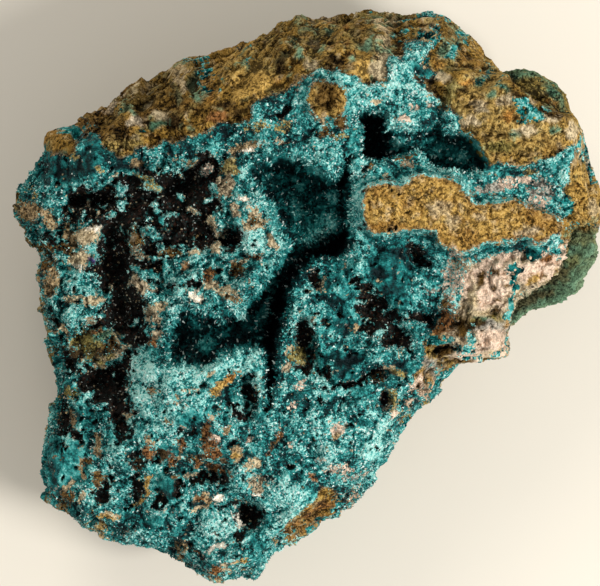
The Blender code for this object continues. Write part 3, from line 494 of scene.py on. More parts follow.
# voids elsewhere, painted near black as a dark mineral and as painted shade: x, y, half length, half width,
# turn (deg), strength
BLACK = [
    # the left border
    (-31.4, 6.2, 1.3, 1.3, 0, .85), (-30.2, 8.7, 1.3, 1.3, 0, .7), (-33.6, 7.1, 1.2, .7),
    (-33.3, 2.8, .5, .6), (-31.1, -2.8, .7, 1.2, 0, .8), (-26.1, -3.4, 1.6, .7, 15),
    (-15.2, 9, 1.3, .6, 0, .8), (-16.8, 1, .6, .5, 0, .7), (-13.5, 2.2, .5, .4, 0, .7),
    (-14.2, 1.3, 1.2, .5, 0, .8), (-11, 3, .8, .4, 0, .7), (-9.3, 6.9, 1.3, 1),
    # below it, along the left edge
    (-29.2, -7.8, .9, 1.3), (-25.6, -9.8, 2.7, 1.3, -5), (-24.4, -12, 2, 1.5, 15), (-23.2, -13.9, 1.5, 1.3),
    (-23, -16.3, 1.1, 1.5), (-30.6, -15, 1.2, 2.1), (-28.9, -16.7, .9, .9), (-20.3, -19.6, 1.7, .8, 0, .85),
    (-21.2, -23.9, .8, 1.3, 0, .85), (-25.2, -23.9, 1.3, .9, 60, .8), (-29.6, -24.9, .9, .5, -40),
    (-18.4, -25, .7, .7), (-13, -22.4, 2.6, .8, -8), (-16.1, -23.7, .5, .9), (-13.2, -11.2, 1, .5, 0, .7),
    (-22.4, -10, .3, 1.6, 5, .8), (-26.6, -12.8, .9, .8, 0, .6), (-17, -20.9, .5, .8, 0, .6),
    # the bottom
    (-7.3, -11.6, .7, 1.9, 5), (-8.1, -14.4, 1.2, .7, -25, .9), (-7.4, -27.1, 1.6, 1.5),
    (-8.3, -25.5, 1.3, .4, 0, .8), (-14, -31.4, 1.1, .4, -35, .7), (-9, -29.4, .5, .9, 25, .8),
    (-2.3, -20.6, .4, .3, 0, .7), (-9.4, -17.9, .5, .8, 0, .6), (-11.5, -13.9, .7, .5, 0, .6),
    (-15.6, -26.9, .5, .3, 0, .7), (-15, -16.4, 1.2, .6, 0, .6),
    # along the cleft and right of it
    (3.3, 6.3, 2.4, .9, 30), (1, 4.9, 1, .6, 30), (-4, .2, .9, 2.6, 8), (-4.6, -5.5, .5, 3.8, 3),
    (-4.9, -11.2, .45, 2.6), (.7, 2, .8, 1.3, 0, .9), (-.6, -4.9, 1.1, 2.1, -10), (.5, -7.3, .6, 1, -10),
    (-.3, -8.7, 1.5, .5, -5, .9), (6.8, .6, 1.4, .8, -45), (7.8, -1.1, 1.9, 1.5), (9.1, -2.8, 2.2, 1.6),
    (10.5, -4.9, 2, 1.3, -25), (7.4, -3.9, 1, .6), (5.5, 1.8, .6, .4, -30), (12.7, 5.6, .6, 1, 25),
    (13.4, 4.5, .5, .7, 20), (14.4, 3.9, 1, .35), (13.9, -2.4, 1.4, .55, -15), (14.9, -3.4, .9, .5, 0, .9),
    (16.4, -6.5, 1.3, .6, 8, .8), (8.7, -9.3, 1.2, .7, 20, .9), (7, -9.9, 1.8, .25, 22),
    (4.5, -10.9, 1.7, .25, 6), (9.4, -12.9, .7, .9, 0, .9), (11.6, -9.8, 1, .3, -20, .9),
    (2, -9.4, .5, .7, 0, .8), (-2.9, 22.7, .9, .5, 20, .9), (4.7, 14.6, .5, 1.9), (4.8, 16.7, .5, .5),
    (1.7, 20, .8, .4, 0, .7), (.6, -12.8, .9, .4, 0, .7), (4.8, -16, .4, .3, 0, .8),
    (-4.1, -17.4, .3, .4, 0, .6), (8, -20.2, .35, .3, 0, .8), (1.9, -3, .5, .5, 0, .8),
    (7.2, 15.6, .6, .7, 0, .8), (11.4, 17.3, 1.8, .5, 14, .75),
]


def spots(size, seed, start, fade=0.35):
    """Irregular spots where three scales of noise add up."""
    total = np.zeros(X.shape)
    for i, (share, finer) in enumerate(((1.0, 1.0), (0.6, 0.4), (0.3, 0.18))):
        total += share * swell(X, Y, size * finer, seed + i)
    return smooth((total - start) / fade)


ground = smooth((within(GROUND, BENT_X, BENT_Y) + 0.7 * FRAY) / 0.6 + 0.6)
clusters = blots(CLUSTERS)
black = np.maximum(blots(BLACK, 0.9), ground * (1 - clusters))
black = np.maximum(black, 0.9 * spots(1.5, 15, 0.72, 0.15) * (SEEN_X < 12) * (SEEN_Y < 19))
print(len(BLACK), "voids and the ground cover", square_mm(black > 0.5), "square mm")

# %% [markdown]
# ## What covers what
# Three numbers and one colour describe each spot: its share of teal mineral, how pale that teal is, how
# far it is a black void, and the colour of any bare stone. A share is not a blend: at one half, the
# material later deals out grains of one or the other, as the minerals really sit together.

# %% Bare stone: pigments and patches
PIGMENTS = {
    "ochre": (0.3, 0.175, 0.036), "gold": (0.47, 0.29, 0.075), "brown": (0.12, 0.065, 0.016),
    "dark": (0.042, 0.024, 0.007), "olive": (0.2, 0.162, 0.046), "khaki": (0.33, 0.262, 0.09),
    "beige": (0.39, 0.312, 0.2), "cream": (0.54, 0.435, 0.27), "white": (0.85, 0.78, 0.67),
    "pink": (0.68, 0.52, 0.4), "rust": (0.24, 0.105, 0.033), "orange": (0.44, 0.215, 0.048),
    "green": (0.075, 0.165, 0.1), "sage": (0.165, 0.31, 0.2), "violet": (0.06, 0.05, 0.2),
    "grey": (0.33, 0.31, 0.26), "tan": (0.38, 0.27, 0.14), "shell": (0.52, 0.435, 0.31),
    "straw": (0.47, 0.325, 0.105), "bronze": (0.23, 0.108, 0.02),
}
# for each pigment: x, y, half length, half width, turn (deg), share of stone showing
STONE = [
    # the left side
    ("cream", [(-27.3, 7.3, 1.3, 1.1, 0, 1), (-28.3, 4.6, 1.6, .8, 10, 1), (-26.4, -.4, 1.2, .6, 0, .95),
    (-30.4, -3.8, .5, .5), (-19, -1.4, 1.2, .7, 15, .95), (-12, 9, .8, .7), (-15.1, 3.9, .7, .4, 20),
    (-6.6, 9.5, 1.3, 1.4, -30), (-4.4, 6.6, .4, 1.2, 32, 1), (-16.8, .4, .4, .3, 0, .7),
    (-17.9, 2, .4, .3, 0, .6), (-14.1, 5.4, .7, .35), (-13.9, -11.4, 1.4, .25, 5),
    (-11.9, -9.7, .8, .25, 15), (-22.2, -14.7, .5, .35), (-29.5, -23.3, 1, .4, 35),
    (-27.9, -24.8, .4, .9, -20), (-24.9, -28.3, .9, .3, -10), (-9.3, -32.8, 1.9, .3, 15, .95)]),
    ("beige", [(-27.6, 11.3, .35, .9, -25), (-26, 10, .25, .5), (-24.4, -5, 1.4, .5, -35),
    (-26.8, -3, .6, .5), (-20.6, 1.3, 1.6, .8, -35, .95), (-19.1, -2.7, 1, .8), (-18.9, -4.8, .7, .9),
    (-14.1, 10.5, .9, .4, -20), (-11.2, 7.7, .8, .9), (-16.3, 16.6, .5, .4, 0, .6),
    (-24, 5.9, .2, .4, 10, .7), (-22.4, 1.5, .3, .3, 0, .7), (-24.6, 1, .4, .3, 0, .7),
    (-24.2, -7.3, 2.6, .45, 28, .95), (-14.9, -22, .9, .5, 10)]),
    ("tan", [(-34.1, 10.4, 1.3, 1.1, 0, .95), (-31.7, 9.4, .9, 1.2), (-29.3, 7.5, .7, 1.5, 20),
    (-21, 16.3, .9, .4), (-14.5, 16.6, 1, .25), (-25.7, -8.8, 1, .25), (-19.4, -11.5, .9, .6, -30, .75),
    (-29.1, -14.9, .35, 1.2, 20), (-17.2, -15.5, .5, .3), (-16.2, -12.4, .3, .8, 0, .7),
    (-27.8, -21, .4, 1.2), (-26, -18.4, .4, 1.4), (-9.9, -16.5, .5, .5), (-8.8, -19.3, .7, .9, 10),
    (-13.2, -24.7, 1.1, .7), (-15.7, -30.6, .5, .8, -30)]),
    ("khaki", [(-20.4, 14.5, 1.3, .5, -20, .75), (-19, 13.5, 1.3, .6, -10, .6),
    (-9.6, 15.8, 1, 1.3, 0, .95), (-6.2, 20.9, 1.4, .6, 0, .6), (-3.3, 20.8, 1, .7, 0, .6),
    (-33.6, 12.2, .5, .4, 0, .7), (-28.6, 17.1, .6, .5, 0, .7), (-25.7, 15.4, .7, .5, 0, .7)]),
    ("brown", [(-31.9, 4.8, 1, 1.7, 0, .95), (-30.4, 5.9, 1.2, .7), (-21.2, 6.9, 1.2, 1.3),
    (-17, 5.4, 1.3, .5), (-8.8, 3.3, 1, .6, -15), (-6.7, 9.3, .6, .6, 0, .7), (-25.7, -22.2, .8, .9),
    (-27, -20.2, .6, .4), (-29.6, -24.6, .8, .6, -40), (-12.8, -17, .6, .9), (-16.4, -22.2, .7, .4)]),
    ("gold", [(-19.9, -23.2, .35, 1.5, -12), (-20.8, -25.2, .8, .35, 30), (-25, -26.9, 1.6, .45, -10),
    (-9, -19.7, .6, .3, 20), (-8, -32.4, 1, .3, 20, .7)]),
    ("rust", [(-18.9, -5.9, .7, .5), (-12.3, 2.7, .7, .8), (-14.7, 4, .3, .3), (-15.3, 3.5, .6, .35),
    (-19.8, -19.2, 1, .8), (-16.8, -20.4, .6, .8), (-13.4, -24.9, .5, .5), (-11.5, -33.5, 1, .4, 10)]),
    ("olive", [(-26.8, -6, 2.6, 1.9, -20), (-29, -12, 1.3, 1, 0, .55)]),
    ("dark", [(-28.6, -7.2, .8, .9), (-25.6, -7, .9, .5, 20, .7), (-17.9, -19.3, .9, .7),
    (-10.5, -20.3, .7, .4), (-20.8, -20.6, .8, .9, 0, .7)]),
    ("cream", [(-11.4, 6.1, .4, .5), (-12.1, 1.5, .9, .5, -15), (-10, .9, 1.3, .5), (-8, 4.4, .7, .4, 20),
    (-24.2, -26.7, .9, .25, -15), (-13.7, -26.1, 1, .35, 10)]),
    ("tan", [(-31.7, 1.8, .9, 1.8), (-9.4, -.3, 1.3, .5, -10, .75), (-7.8, 18.3, 2, .6, 17),
    (-19.5, -17.5, .5, .8, 20, .7), (-15.8, -19, .4, .9, 0, .75), (-12.2, -18.2, .5, .6)]),
    ("white", [(-26.3, 8.4, .8, .3, 10, 1), (-28.2, 3.6, .8, .35, -20), (-13.9, -.1, .7, .6),
    # the small white spot at x -22.7, y -11.5 is a painted glint
    (-7.3, 17.9, .9, .25, 10), (-7.9, 12.1, .6, .4), (-22.7, -11.5, .35, .35), (-11.1, -24.8, .7, .5),
    (-8.9, -27, .35, 1.2, 10, .95), (-11.4, -30.8, 1.5, .35, 12, .95)]),
    ("green", [(-25.6, -4.9, 1, .7)]),
    ("brown", [(-24.2, -5.9, .9, .6), (-14, -19.8, 1, .5, 10)]),
    ("rust", [(-6.4, 5.1, .9, .4, 10), (-25.9, -4.3, .5, .3), (-15.5, -18, .8, .6), (-13.6, -20.5, .5, .6),
    (-12, -18.8, 1.1, 1.3), (-11.3, -21.2, 1.6, .4, -25), (-14, -31.3, .6, .3, -30, .7)]),
    ("pink", [(-12.7, 15.5, .8, .6, 40, .7), (-15.6, -15.8, .5, .25), (-11.8, -17.4, .6, .4, 0, .7)]),
    ("cream", [(-29, -.1, 1.3, .4)]),
    ("violet", [(-26.6, 4.4, .45, .4, 0, 1)]),
    ("rust", [(-12.3, -16.3, .5, 1, 10)]),
    ("beige", [(-20.7, 5.1, .9, .7, 0, .75), (-21.6, 7.3, .5, .5), (-10.1, 13.6, .9, 1.4, 0, .95),
    (-3.5, 19, .7, .5, 0, .7), (-9, 10.6, .6, .8), (-22, 8, .3, .3, 0, .7), (-12, -14.9, .6, .3, 0, .6)]),
    # the bottom, the hollows and right of the cleft
    ("pink", [(-7.2, -17.5, .8, .5, 0, .7), (-2.4, -17.9, .5, .35), (-2, -13.4, .8, .3, 20, .6),
    (-1, -10.7, .6, .7, -30, .7), (3.4, -16.3, .8, 1.1, 20), (3.8, -21.1, 1.9, .6, 10, .65),
    (1.5, -19.8, .5, .3, -30, .6), (-.1, 3.3, .5, .3, 0, .6), (12.7, -13.1, .9, .7, 30), (13, 23.3, .5, .4),
    (15, 23.4, .5, .35, -30), (11.7, 21.9, .6, .45, 20)]),
    ("tan", [(3.4, -17.2, .5, .4), (5.8, -3.8, .5, .5), (1.8, 21.7, .6, .7)]),
    ("gold", [(-10.7, -10.9, 2.3, .5, 38), (6.9, 28.3, 1.3, 1.5)]),
    ("orange", [(-9.5, -10, .8, .4, 30)]),
    ("rust", [(.3, -22, .4, .3, 0, .7), (.3, -2.8, .5, .4, 0, .6), (17, -2.8, 1.3, 1.1, 40),
    (15.8, -4.1, .9, .5, 15)]),
    ("olive", [(-1.4, -7.2, 1.2, 1)]),
    ("cream", [(-7, -20.5, .9, .8), (-2.7, -6.6, .3, .5, -30), (9.7, -8.8, .9, .45, -25),
    (.8, 11.8, .9, .32, 38), (9.2, 14.8, .6, .25, 20, .7), (8.7, 27.8, .9, 1.5), (8.4, 24, .7, .45)]),
    ("beige", [(-6.6, -23, 1.1, 1.2, 0, .75), (-2.6, -8.7, .6, .6), (1.2, 1.3, .5, .7, 0, .6),
    (12, 16.3, .8, .35)]),
    ("white", [(-6.6, -24.3, .6, .25)]),
    ("khaki", [(11, -9.5, .8, .4, -25), (10.3, -12.3, .4, 1.2, 0, .75), (4, 19.6, 1, .4, 0, .7),
    (16.7, 23.8, .8, 1, 0, .7)]),
    ("brown", [(-4.5, -18.3, 1.7, .22, 65), (8.6, -9.9, 1.2, .5, 15, .7), (16.8, -.9, 1, .8, 30),
    (16.6, -7, 1, .5, 10), (18.7, -4.1, .6, 1.2), (7.4, 15.7, .4, .8), (11.8, 17.2, 1.7, .5, 14),
    (3.9, 21.4, 1, .8, -40), (2, 20.1, .9, .5)]),
    ("grey", [(5, -22.3, 1.4, .4, 5, .6), (15.8, -8.6, 1.5, .9, 10), (16, 1, 1.4, .5, 15, .5),
    (22.3, 13.3, 1.7, .6)]),
    ("pink", [(7.2, -21.5, 1, .5, 10, .7), (10.6, -14.6, .6, .7), (14.2, -10.4, 1.8, .7, 12),
    (14.5, -11.4, 1, .4, 10, .6), (24.5, 13.9, 1.4, .6, 0, .75)]),
    ("cream", [(9.7, -13.6, .4, .3, 0, .7)]),
    ("grey", [(28.4, 13, 1.5, 1.6, 0, .7)]),
    ("pink", [(27.8, 11.6, 1.2, .5, 0, .7), (26.5, 14.2, 1, .5)]),
    ("khaki", [(27.3, 15.2, .8, .5, 0, .7)]),
    ("rust", [(-3.7, -16.9, .4, .4), (8, -20.5, .3, .4)]),
    # the ridge, the pale block and the lobe behind it
    ("dark", [(-16.7, 21.4, 1, 1), (-23.5, 20.5, .8, .6), (-10.3, 23.6, 1, .9), (-18.3, 25.4, 2, .9, 20),
    (-8.5, 22.7, .9, .6), (-21.4, 23.9, .8, .8), (3, 29, 1.2, .6, -25), (1.8, 32.4, 1.3, .6, 0, .75),
    (6.2, 31.8, 1, .6, 0, .75), (-3.6, 28.4, .8, .9, 0, .75), (14.2, 26.6, 1.4, .35, -10),
    (16.3, 31, .5, 1), (21.8, 19.6, .8, .4)]),
    ("sage", [(-13.7, 27.8, 1.1, .6, 20), (-13.4, 24.6, .9, .6), (-8.5, 27.8, 1, .6), (.9, 30.7, 1, .5),
    (5.4, 29.3, .5, .6), (6.8, 34.6, .8, .6), (7.3, 30.6, .9, .4), (11, 33.2, .8, .5), (10.9, 31.9, .5, .6),
    (14.4, 35, 1, .5), (23.7, 25.7, .8, .4, -30), (20.7, 26.3, .7, .5), (22.2, 24.7, .6, .4),
    (29.4, 23.3, .6, .4), (25.3, 19.7, .7, .5), (30.3, 20.4, .6, .5), (17.3, 30, 1.2, .8),
    (20.4, 30.1, .8, .6)]),
    ("cream", [(-15, 25.8, 1, .7, 20), (-18.3, 22.4, .9, .5), (-1.7, 29.6, .7, .3), (8.8, 31.4, .7, .9),
    (15.5, 34, 1.2, .9), (14, 32.8, 1, .7, 0, .7), (16.3, 26.9, 1, .6), (0, 28.5, .9, .5, 0, .7),
    (26.5, 20.3, 1, .9, 0, .5), (23.9, 24, 1, .7, 0, .7), (21, 23.3, 1, .8, 0, .7),
    (19.8, 21.4, 1.1, .7, 0, .75), (32.3, 20.2, .9, .7, 0, .6), (29.2, 21.8, .9, .6, 0, .7)]),
    ("rust", [(-11.2, 21.9, 1, .6), (12.9, 32.9, .6, .4), (3.6, 30.9, .8, .4, 0, .7)]),
    ("shell", [(-21.2, 21.6, .9, .6), (5.2, 33, .5, .5)]),
    ("sage", [(-21.8, 23.6, .5, 1.1), (-1.2, 29.7, .8, .35, 20, .7), (17.2, 33.4, .9, .6),
    (8.9, 30, 1, .35, -10)]),
    ("gold", [(-7, 26, 2.5, 1.5, 20, .5), (2, 29.8, .6, .4)]),
    ("olive", [(8.6, 35, 2.6, .7, -8), (17.6, 25.3, .8, .8), (23.4, 18.4, 1.8, .7, 0, .7)]),
    ("khaki", [(17.9, 25.7, 1.1, .9)]),
    ("orange", [(19.4, 26.3, .7, .5), (24.5, 22, .8, .5), (31.1, 24.5, .8, .5)]),
    # painted shadows: at the foot of the block, under an island's right side, and along the groove between
    # the block and the lobe
    ("dark", [(18.7, 25.2, .7, .5), (28.8, 22.7, .7, .4), (23, 27.9, 1.1, .4, -60),
    (25.6, 24.7, 1.6, .35, -40), (29.6, 22.4, 1.6, .35, -20)]),
    ("green", [(-18.6, 21.2, 1.3, .4, 20), (-1.3, 31.6, .5, .5), (26.6, 28.6, 2.2, .8, -5),
    (31.4, 26.2, 1.2, 1.6, 30, .7)]),
    ("olive", [(-1, 33.2, 2.6, .8, 10, .7)]),
    # the pale rock at the lower right
    ("pink", [(22, 1.6, 2.7, 3, 0, 1), (20.4, 3.4, 1.4, .7), (24.6, 5, 1.5, .6, 20, .95),
    (29, 4, 2.4, 1.5, 35, .95), (27, 3, 1.4, 1.5, 0, .95), (31.1, 5.9, .6, 1.1, -20)]),
    ("rust", [(29.2, 4.7, .7, .4, 20, .7)]),
    ("cream", [(20, .2, .8, 1.7, 0, .95)]),
    ("olive", [(21.6, -3, 2.3, .9, 0, .6)]),
    ("grey", [(22, -3.6, 2, .8, 0, .6)]),
    ("dark", [(20.4, -3.4, 1.3, .5, 10, .7)]),
    ("pink", [(22.8, -5.4, 2.2, 1.5, 0, .95), (19.4, -7, 1.8, .6, 15, .95), (18, 2.6, 1.6, 2.8, 0, .6)]),
    ("green", [(21.2, -2.2, 1, .5, 0, .6)]),
    ("cream", [(21, -2, 1.6, .4), (21.8, -7.3, 1.6, .4, 20, .95)]),
    ("brown", [(21.2, 2.4, .35, .8, -25), (24.3, 1.2, .4, .35), (22.7, 1, .3, .3),
    (22.9, 2.9, .4, .3, 0, .7), (22.9, -.6, .4, .3), (23, -2, .6, .3, 20), (23.9, -6.5, .6, .5),
    (21.5, -8, .4, .15), (21.2, -4.2, .4, .3, 0, .7)]),
    ("beige", [(19, 4, 1.5, .8, 0, .5)]),
    ("shell", [(17.6, -8.6, 1.6, 1, 10, .5)]),
    ("gold", [(27.4, 1.9, 1.3, .4, 30), (24.4, -4.6, .4, .7)]),
]
USUAL = (0, 0.85)  # turn and share of the patches that name neither
STONE = [(pigment, [patch + USUAL[len(patch) - 4:] for patch in patches]) for pigment, patches in STONE]

showing = blots([patch for _, patches in STONE for patch in patches])
showing = np.maximum(showing, 0.6 * spots(1.3, 121, 0.60, 0.3))
black = black * (1 - showing)
print("bare patches cover", square_mm(showing > 0.5), "square mm")

# %% [markdown]
# ## Heights: plateaus, pits, hollows
# The large forms are the solids' own. The plates and the tongue are raised flats with a short slope; the
# hollows drop away behind a steep wall.

# %% Large forms
TONGUE_TOP, PLATE_TOP, CORNER_TOP, LOBE_TOP, LEDGE_TOP = 36.4, 34.6, 25.5, 22.0, 16.0
BLOCK_RISE, KNOB_RISE = 1.8, 1.9
VUG_DEPTH, CAVITY_DEPTH = 8.0, 10.5
CLEFT_EXTRA, SLIT_EXTRA = 5.4, 4.0
HOLLOW_WALL = 1.7
CAVITY_WALL = 0.8
CAVITY_OVERHANG = 0.55  # the rim overhangs the opening, so the hole is wider than its outline
# pits: x, y, half length, half width, turn (deg), depth
PITS = [
    (-27.2, 12.1, 3.1, 1, 3, 3), (-14.6, 14.2, 3, 2, 10, 2.5), (-24.2, 6, 2, 2.8, 0, 3),
    (-23.8, 1, 1.9, 3.5, 0, 3.2), (-22.6, -2.5, 2.4, 2.2, 0, 2.6), (-25, -10.4, 2.9, 2, 0, 3),
    (-23.3, -14.8, 1.3, 3, 10, 2.2), (-30.3, -15.2, 1.1, 2.2, 0, 2), (-9.6, 7.4, 1.6, 1.3, 0, 2.5),
    (-13.2, 8.6, 2.4, 1.8, 0, 1.6), (-7.4, -27, 1.7, 1.7, 0, 3.2), (-.4, -5.6, 1.2, 2.8, 15, 3.4),
    (8.5, -1.6, 2.8, 2, -30, 2.6), (10.8, -4.8, 1.8, 1.6, 0, 2), (13.4, 5, .9, 1.5, 25, 1.8),
    (16, -2.8, 2.6, 1.1, -15, 1.7), (16.2, -6.8, 1.9, 1, 5, 1.4), (8.4, -9.4, 1.9, 1, 0, 1.7),
    (-7.4, -12.4, .9, 2.6, 8, 2.6), (-12.3, -21.8, 2.4, 1.1, 0, 1.6), (9.4, -13, .9, 1.3, 0, 1.5),
]
# rounded clusters: x, y, radius, rise
LUMPS = [
    (-23.4, -19.6, 2, 1.1), (-23.4, -24.9, 1.7, .9), (-17, -23.2, 1.7, 1.1), (3.2, -19.7, 1.7, .9),
    (-11.5, -27.8, 2.3, 1.3), (4, -9, 2, 1.3), (6.7, 2.8, 1.9, 1.3), (3.4, 1.2, 2, 1), (-28.8, 1.5, 2, 1.3),
    (-28.9, -2.7, 2, 1.5), (-27.3, 7.2, 1.8, 1.2), (-18.9, 8.3, 1.8, 1.2), (-20.8, 1.6, 1.8, 1),
    (-20, -8.5, 2.2, 1), (10.5, 4.5, 2, 1), (-8, -22.5, 2, .9), (8.6, -7.4, 1.8, .8), (-3, -24, 2.4, .8),
    (6.5, -13.5, 2.2, .9),
]
# rosettes of paler crystals on the floor of the hollows: x, y, radius
ROSETTES = [
    (-1, 14.8, 1), (.9, 15.1, .9), (-2.4, 17.2, .8), (-1.7, 10.9, 1), (2.3, 9.3, 1.2), (1, 7, 1.2),
    (-5.8, 15.8, .9), (-6.3, 14, .8), (3.2, 12.6, .8), (-3.9, 11.6, .7), (-12.8, -6.1, 1),
    (-14.9, -8.2, .9), (-16.6, -6.9, .9), (-6.6, -6.2, .9), (-10.4, -4, .9), (-8.3, -2.6, .8),
    (-14.6, -3.2, .8), (-4.4, 1, .7), (-5.2, -1.8, .8), (-11.6, -2.9, .6), (11, 19.4, .8), (16.6, 18.3, .9),
    (18.9, 17.2, .8),
]
LUMPS += [(x, y, 1.4 * r, 0.7 * r) for x, y, r in ROSETTES]
frayed_x = X + (BENT_X - SEEN_X) * 0.7
frayed_y = Y + (BENT_Y - SEEN_Y) * 0.7


def frayed(poly):
    return within(poly, frayed_x, frayed_y)


tongue = smooth(frayed(TONGUE) / 0.7 + 1.0)
block = smooth(frayed(BLOCK) / 0.9 + 1.0)
corner = smooth(frayed(CORNER) / 0.8 + 1.0)
plate = smooth(frayed(PLATE) / 0.6 + 1.0)
in_vug = frayed(VUG)
in_cavity = frayed(CAVITY) + CAVITY_OVERHANG
in_hollow = np.maximum(in_vug, in_cavity)
in_ledge = frayed(LEDGE)
in_lobe = frayed(LOBE)
off_knob = np.hypot(BENT_X - KNOB[0], BENT_Y - KNOB[1])

# distance into the crust, negative on bare rock
in_crust = within(CRUST, BENT_X, BENT_Y)
for hole in (TONGUE, BARE):
    in_crust = np.minimum(in_crust, -frayed(hole))
in_crust = np.minimum(in_crust, off_knob - KNOB[2])

H += (1.3 * swell(X, Y, 6.5, 31) + 0.5 * swell(X, Y, 2.6, 32)) * (1 - 0.85 * tongue)
H = H * (1 - tongue) + (TONGUE_TOP - 0.05 * (X - 18)) * tongue
H += BLOCK_RISE * block
H = H * (1 - corner) + (CORNER_TOP + 0.25 * (X + 31) + 0.1 * (Y + 21)) * corner
H = H * (1 - plate) + (PLATE_TOP + 0.20 * (X + 6) - 0.12 * (Y - 8)) * plate
for a, b, r, rise in LUMPS:
    H += rise * np.sqrt(np.clip(1 - ((X - a) ** 2 + (Y - b) ** 2) / r ** 2, 0, 1))
for a, b, half, wide, turn, deep in PITS:
    H -= deep * smooth(1.45 - oval(X - a, Y - b, half, wide, turn))
H += KNOB_RISE * smooth((KNOB[2] + 0.6 - off_knob) / 0.7)
H += 0.6 * np.clip(1 - (off_knob / KNOB[2]) ** 2, 0, 1)
H -= 1.4 * black
H += 0.7 * ground * (clusters + showing)

deep = VUG_DEPTH + 3.0 * smooth((Y - 6) / 6) - 2.5 * smooth((X + 1) / 5) - 1.0 * smooth(-X / 8 - 1)
deep += CLEFT_EXTRA * smooth(1.3 - along(X, Y, CLEFT) / 2.0)
deep += SLIT_EXTRA * smooth(1.3 - along(X, Y, SLIT) / 1.2)
H -= deep * smooth(in_vug / HOLLOW_WALL)
H -= (CAVITY_DEPTH - 5.0 * smooth((X - 8.6) / 2.5)) * smooth(in_cavity / CAVITY_WALL)
ledge = smooth(in_ledge / 1.2)
lobe = smooth(in_lobe / 1.6)
H = H * (1 - ledge) + (LEDGE_TOP + 0.35 * (Y - 4)) * ledge
H = H * (1 - lobe) + (LOBE_TOP + 0.4 * (24 - Y)) * lobe
print("heights with the large forms:", round(H.min(), 1), "to", round(H.max(), 1))

# %% [markdown]
# ## Fine relief
# Bare rock breaks in tilted facets with cracks between them. The crust is small domes on bigger domes,
# loose and deeply pitted on the left. The hollows carry a carpet of small crystal ends. Each texture is
# made once over the whole map and let in where it belongs.

# %% Fine relief
JUMBLE = [
    (-34, 12), (-24, 13.5), (-21, 17), (-12, 18), (-8.5, 17.5), (-8.8, 13), (-9.5, 9), (-8, 5), (-5, 4),
    (-6, 1.5), (-9, -1), (-17, -1.5), (-18.5, -6), (-22, -8.5), (-22, -16), (-28, -17.5), (-34, -14),
    (-36, 0),
]
warp_x, warp_y = X + 0.5 * swell(X, Y, 2.0, 41), Y + 0.5 * swell(X, Y, 2.0, 42)


def domes(size, seed):
    """Rounded heads packed side by side, their seams, and a random number for each."""
    near, gap, pick, *_ = cells(warp_x, warp_y, size, seed)
    return np.sqrt(np.clip(1 - (near / 0.85) ** 2, 0, 1)) - 0.6, smooth(1 - gap / 0.16), pick - 0.5


def cracks(size, seed, width):
    gap = cells(warp_x, warp_y, size, seed)[1]
    return -smooth(1 - gap / width)


on_crust = smooth(in_crust / 0.6 + 0.5)
on_druse = smooth(in_hollow / 0.8)
loose = smooth(within(JUMBLE) / 2.0 + 0.5) * on_crust
on_rock = 1 - on_crust

rock_grain = 0.60 * facets(warp_x, warp_y, 2.9, 51) + 0.34 * facets(warp_x, warp_y, 1.25, 52)
rock_grain += 0.20 * facets(X, Y, 0.55, 53) + 0.5 * cracks(3.3, 54, 0.10) + 0.12 * swell(X, Y, 0.4, 55)
tongue_grain = 0.26 * facets(X, Y, 0.95, 56) + 0.16 * facets(X, Y, 0.5, 57) + 0.16 * swell(X, Y, 2.2, 58)
tongue_grain += 0.35 * cracks(2.4, 59, 0.09)
heads, seams, head_pick = domes(2.6, 61)
knobs, knob_seams, knob_pick = domes(1.15, 62)
crust_grain = 0.85 * heads + 0.50 * knobs + 0.25 * domes(0.6, 63)[0]
crust_grain += 0.10 * swell(X, Y, 0.35, 64) + 0.5 * (head_pick + 0.6 * knob_pick)
loose_grain = 1.2 * domes(3.1, 71)[0] + 0.75 * facets(warp_x, warp_y, 1.5, 72) + 0.4 * facets(X, Y, 0.7, 73)
druse_grain = 0.28 * facets(X, Y, 0.95, 81) + 0.20 * facets(X, Y, 0.55, 82) + 0.30 * domes(2.0, 83)[0]

grain = rock_grain * on_rock * (1 - tongue) + tongue_grain * tongue
calm = 1 - 0.75 * corner
grain += crust_grain * on_crust * (1 - on_druse) * (1 - 0.4 * loose) * calm
grain += loose_grain * loose * (1 - on_druse)
grain += druse_grain * on_druse
grain = grain * (1 - 0.7 * ledge)
H += grain
H += 0.35 * smooth(in_crust / 0.5) * smooth(1 - in_crust / 1.6)
print("fine relief spreads over", round(float(grain.std()), 2), "mm")

# %% [markdown]
# ## Colour of the bare stone
# Districts first, then the noted patches on top of them.

# %% Stone colour
def tinted(base, amount, pigment):
    return base + (np.array(PIGMENTS[pigment]) - base) * np.asarray(amount)[..., None]


stone = np.broadcast_to(np.array(PIGMENTS["ochre"]), X.shape + (3,)).copy()

for size, seed, start, fade, share, pigment in (
        (2.4, 91, -0.15, 0.7, 0.75, "brown"), (3.4, 94, 0.10, 0.5, 0.65, "khaki"),
        (1.5, 97, 0.30, 0.35, 0.75, "dark"), (1.2, 104, 0.42, 0.35, 0.55, "cream"),
        (2.1, 107, 0.42, 0.35, 0.50, "orange"), (1.7, 110, 0.62, 0.2, 0.75, "sage")):
    stone = tinted(stone, spots(size, seed, start, fade) * share, pigment)

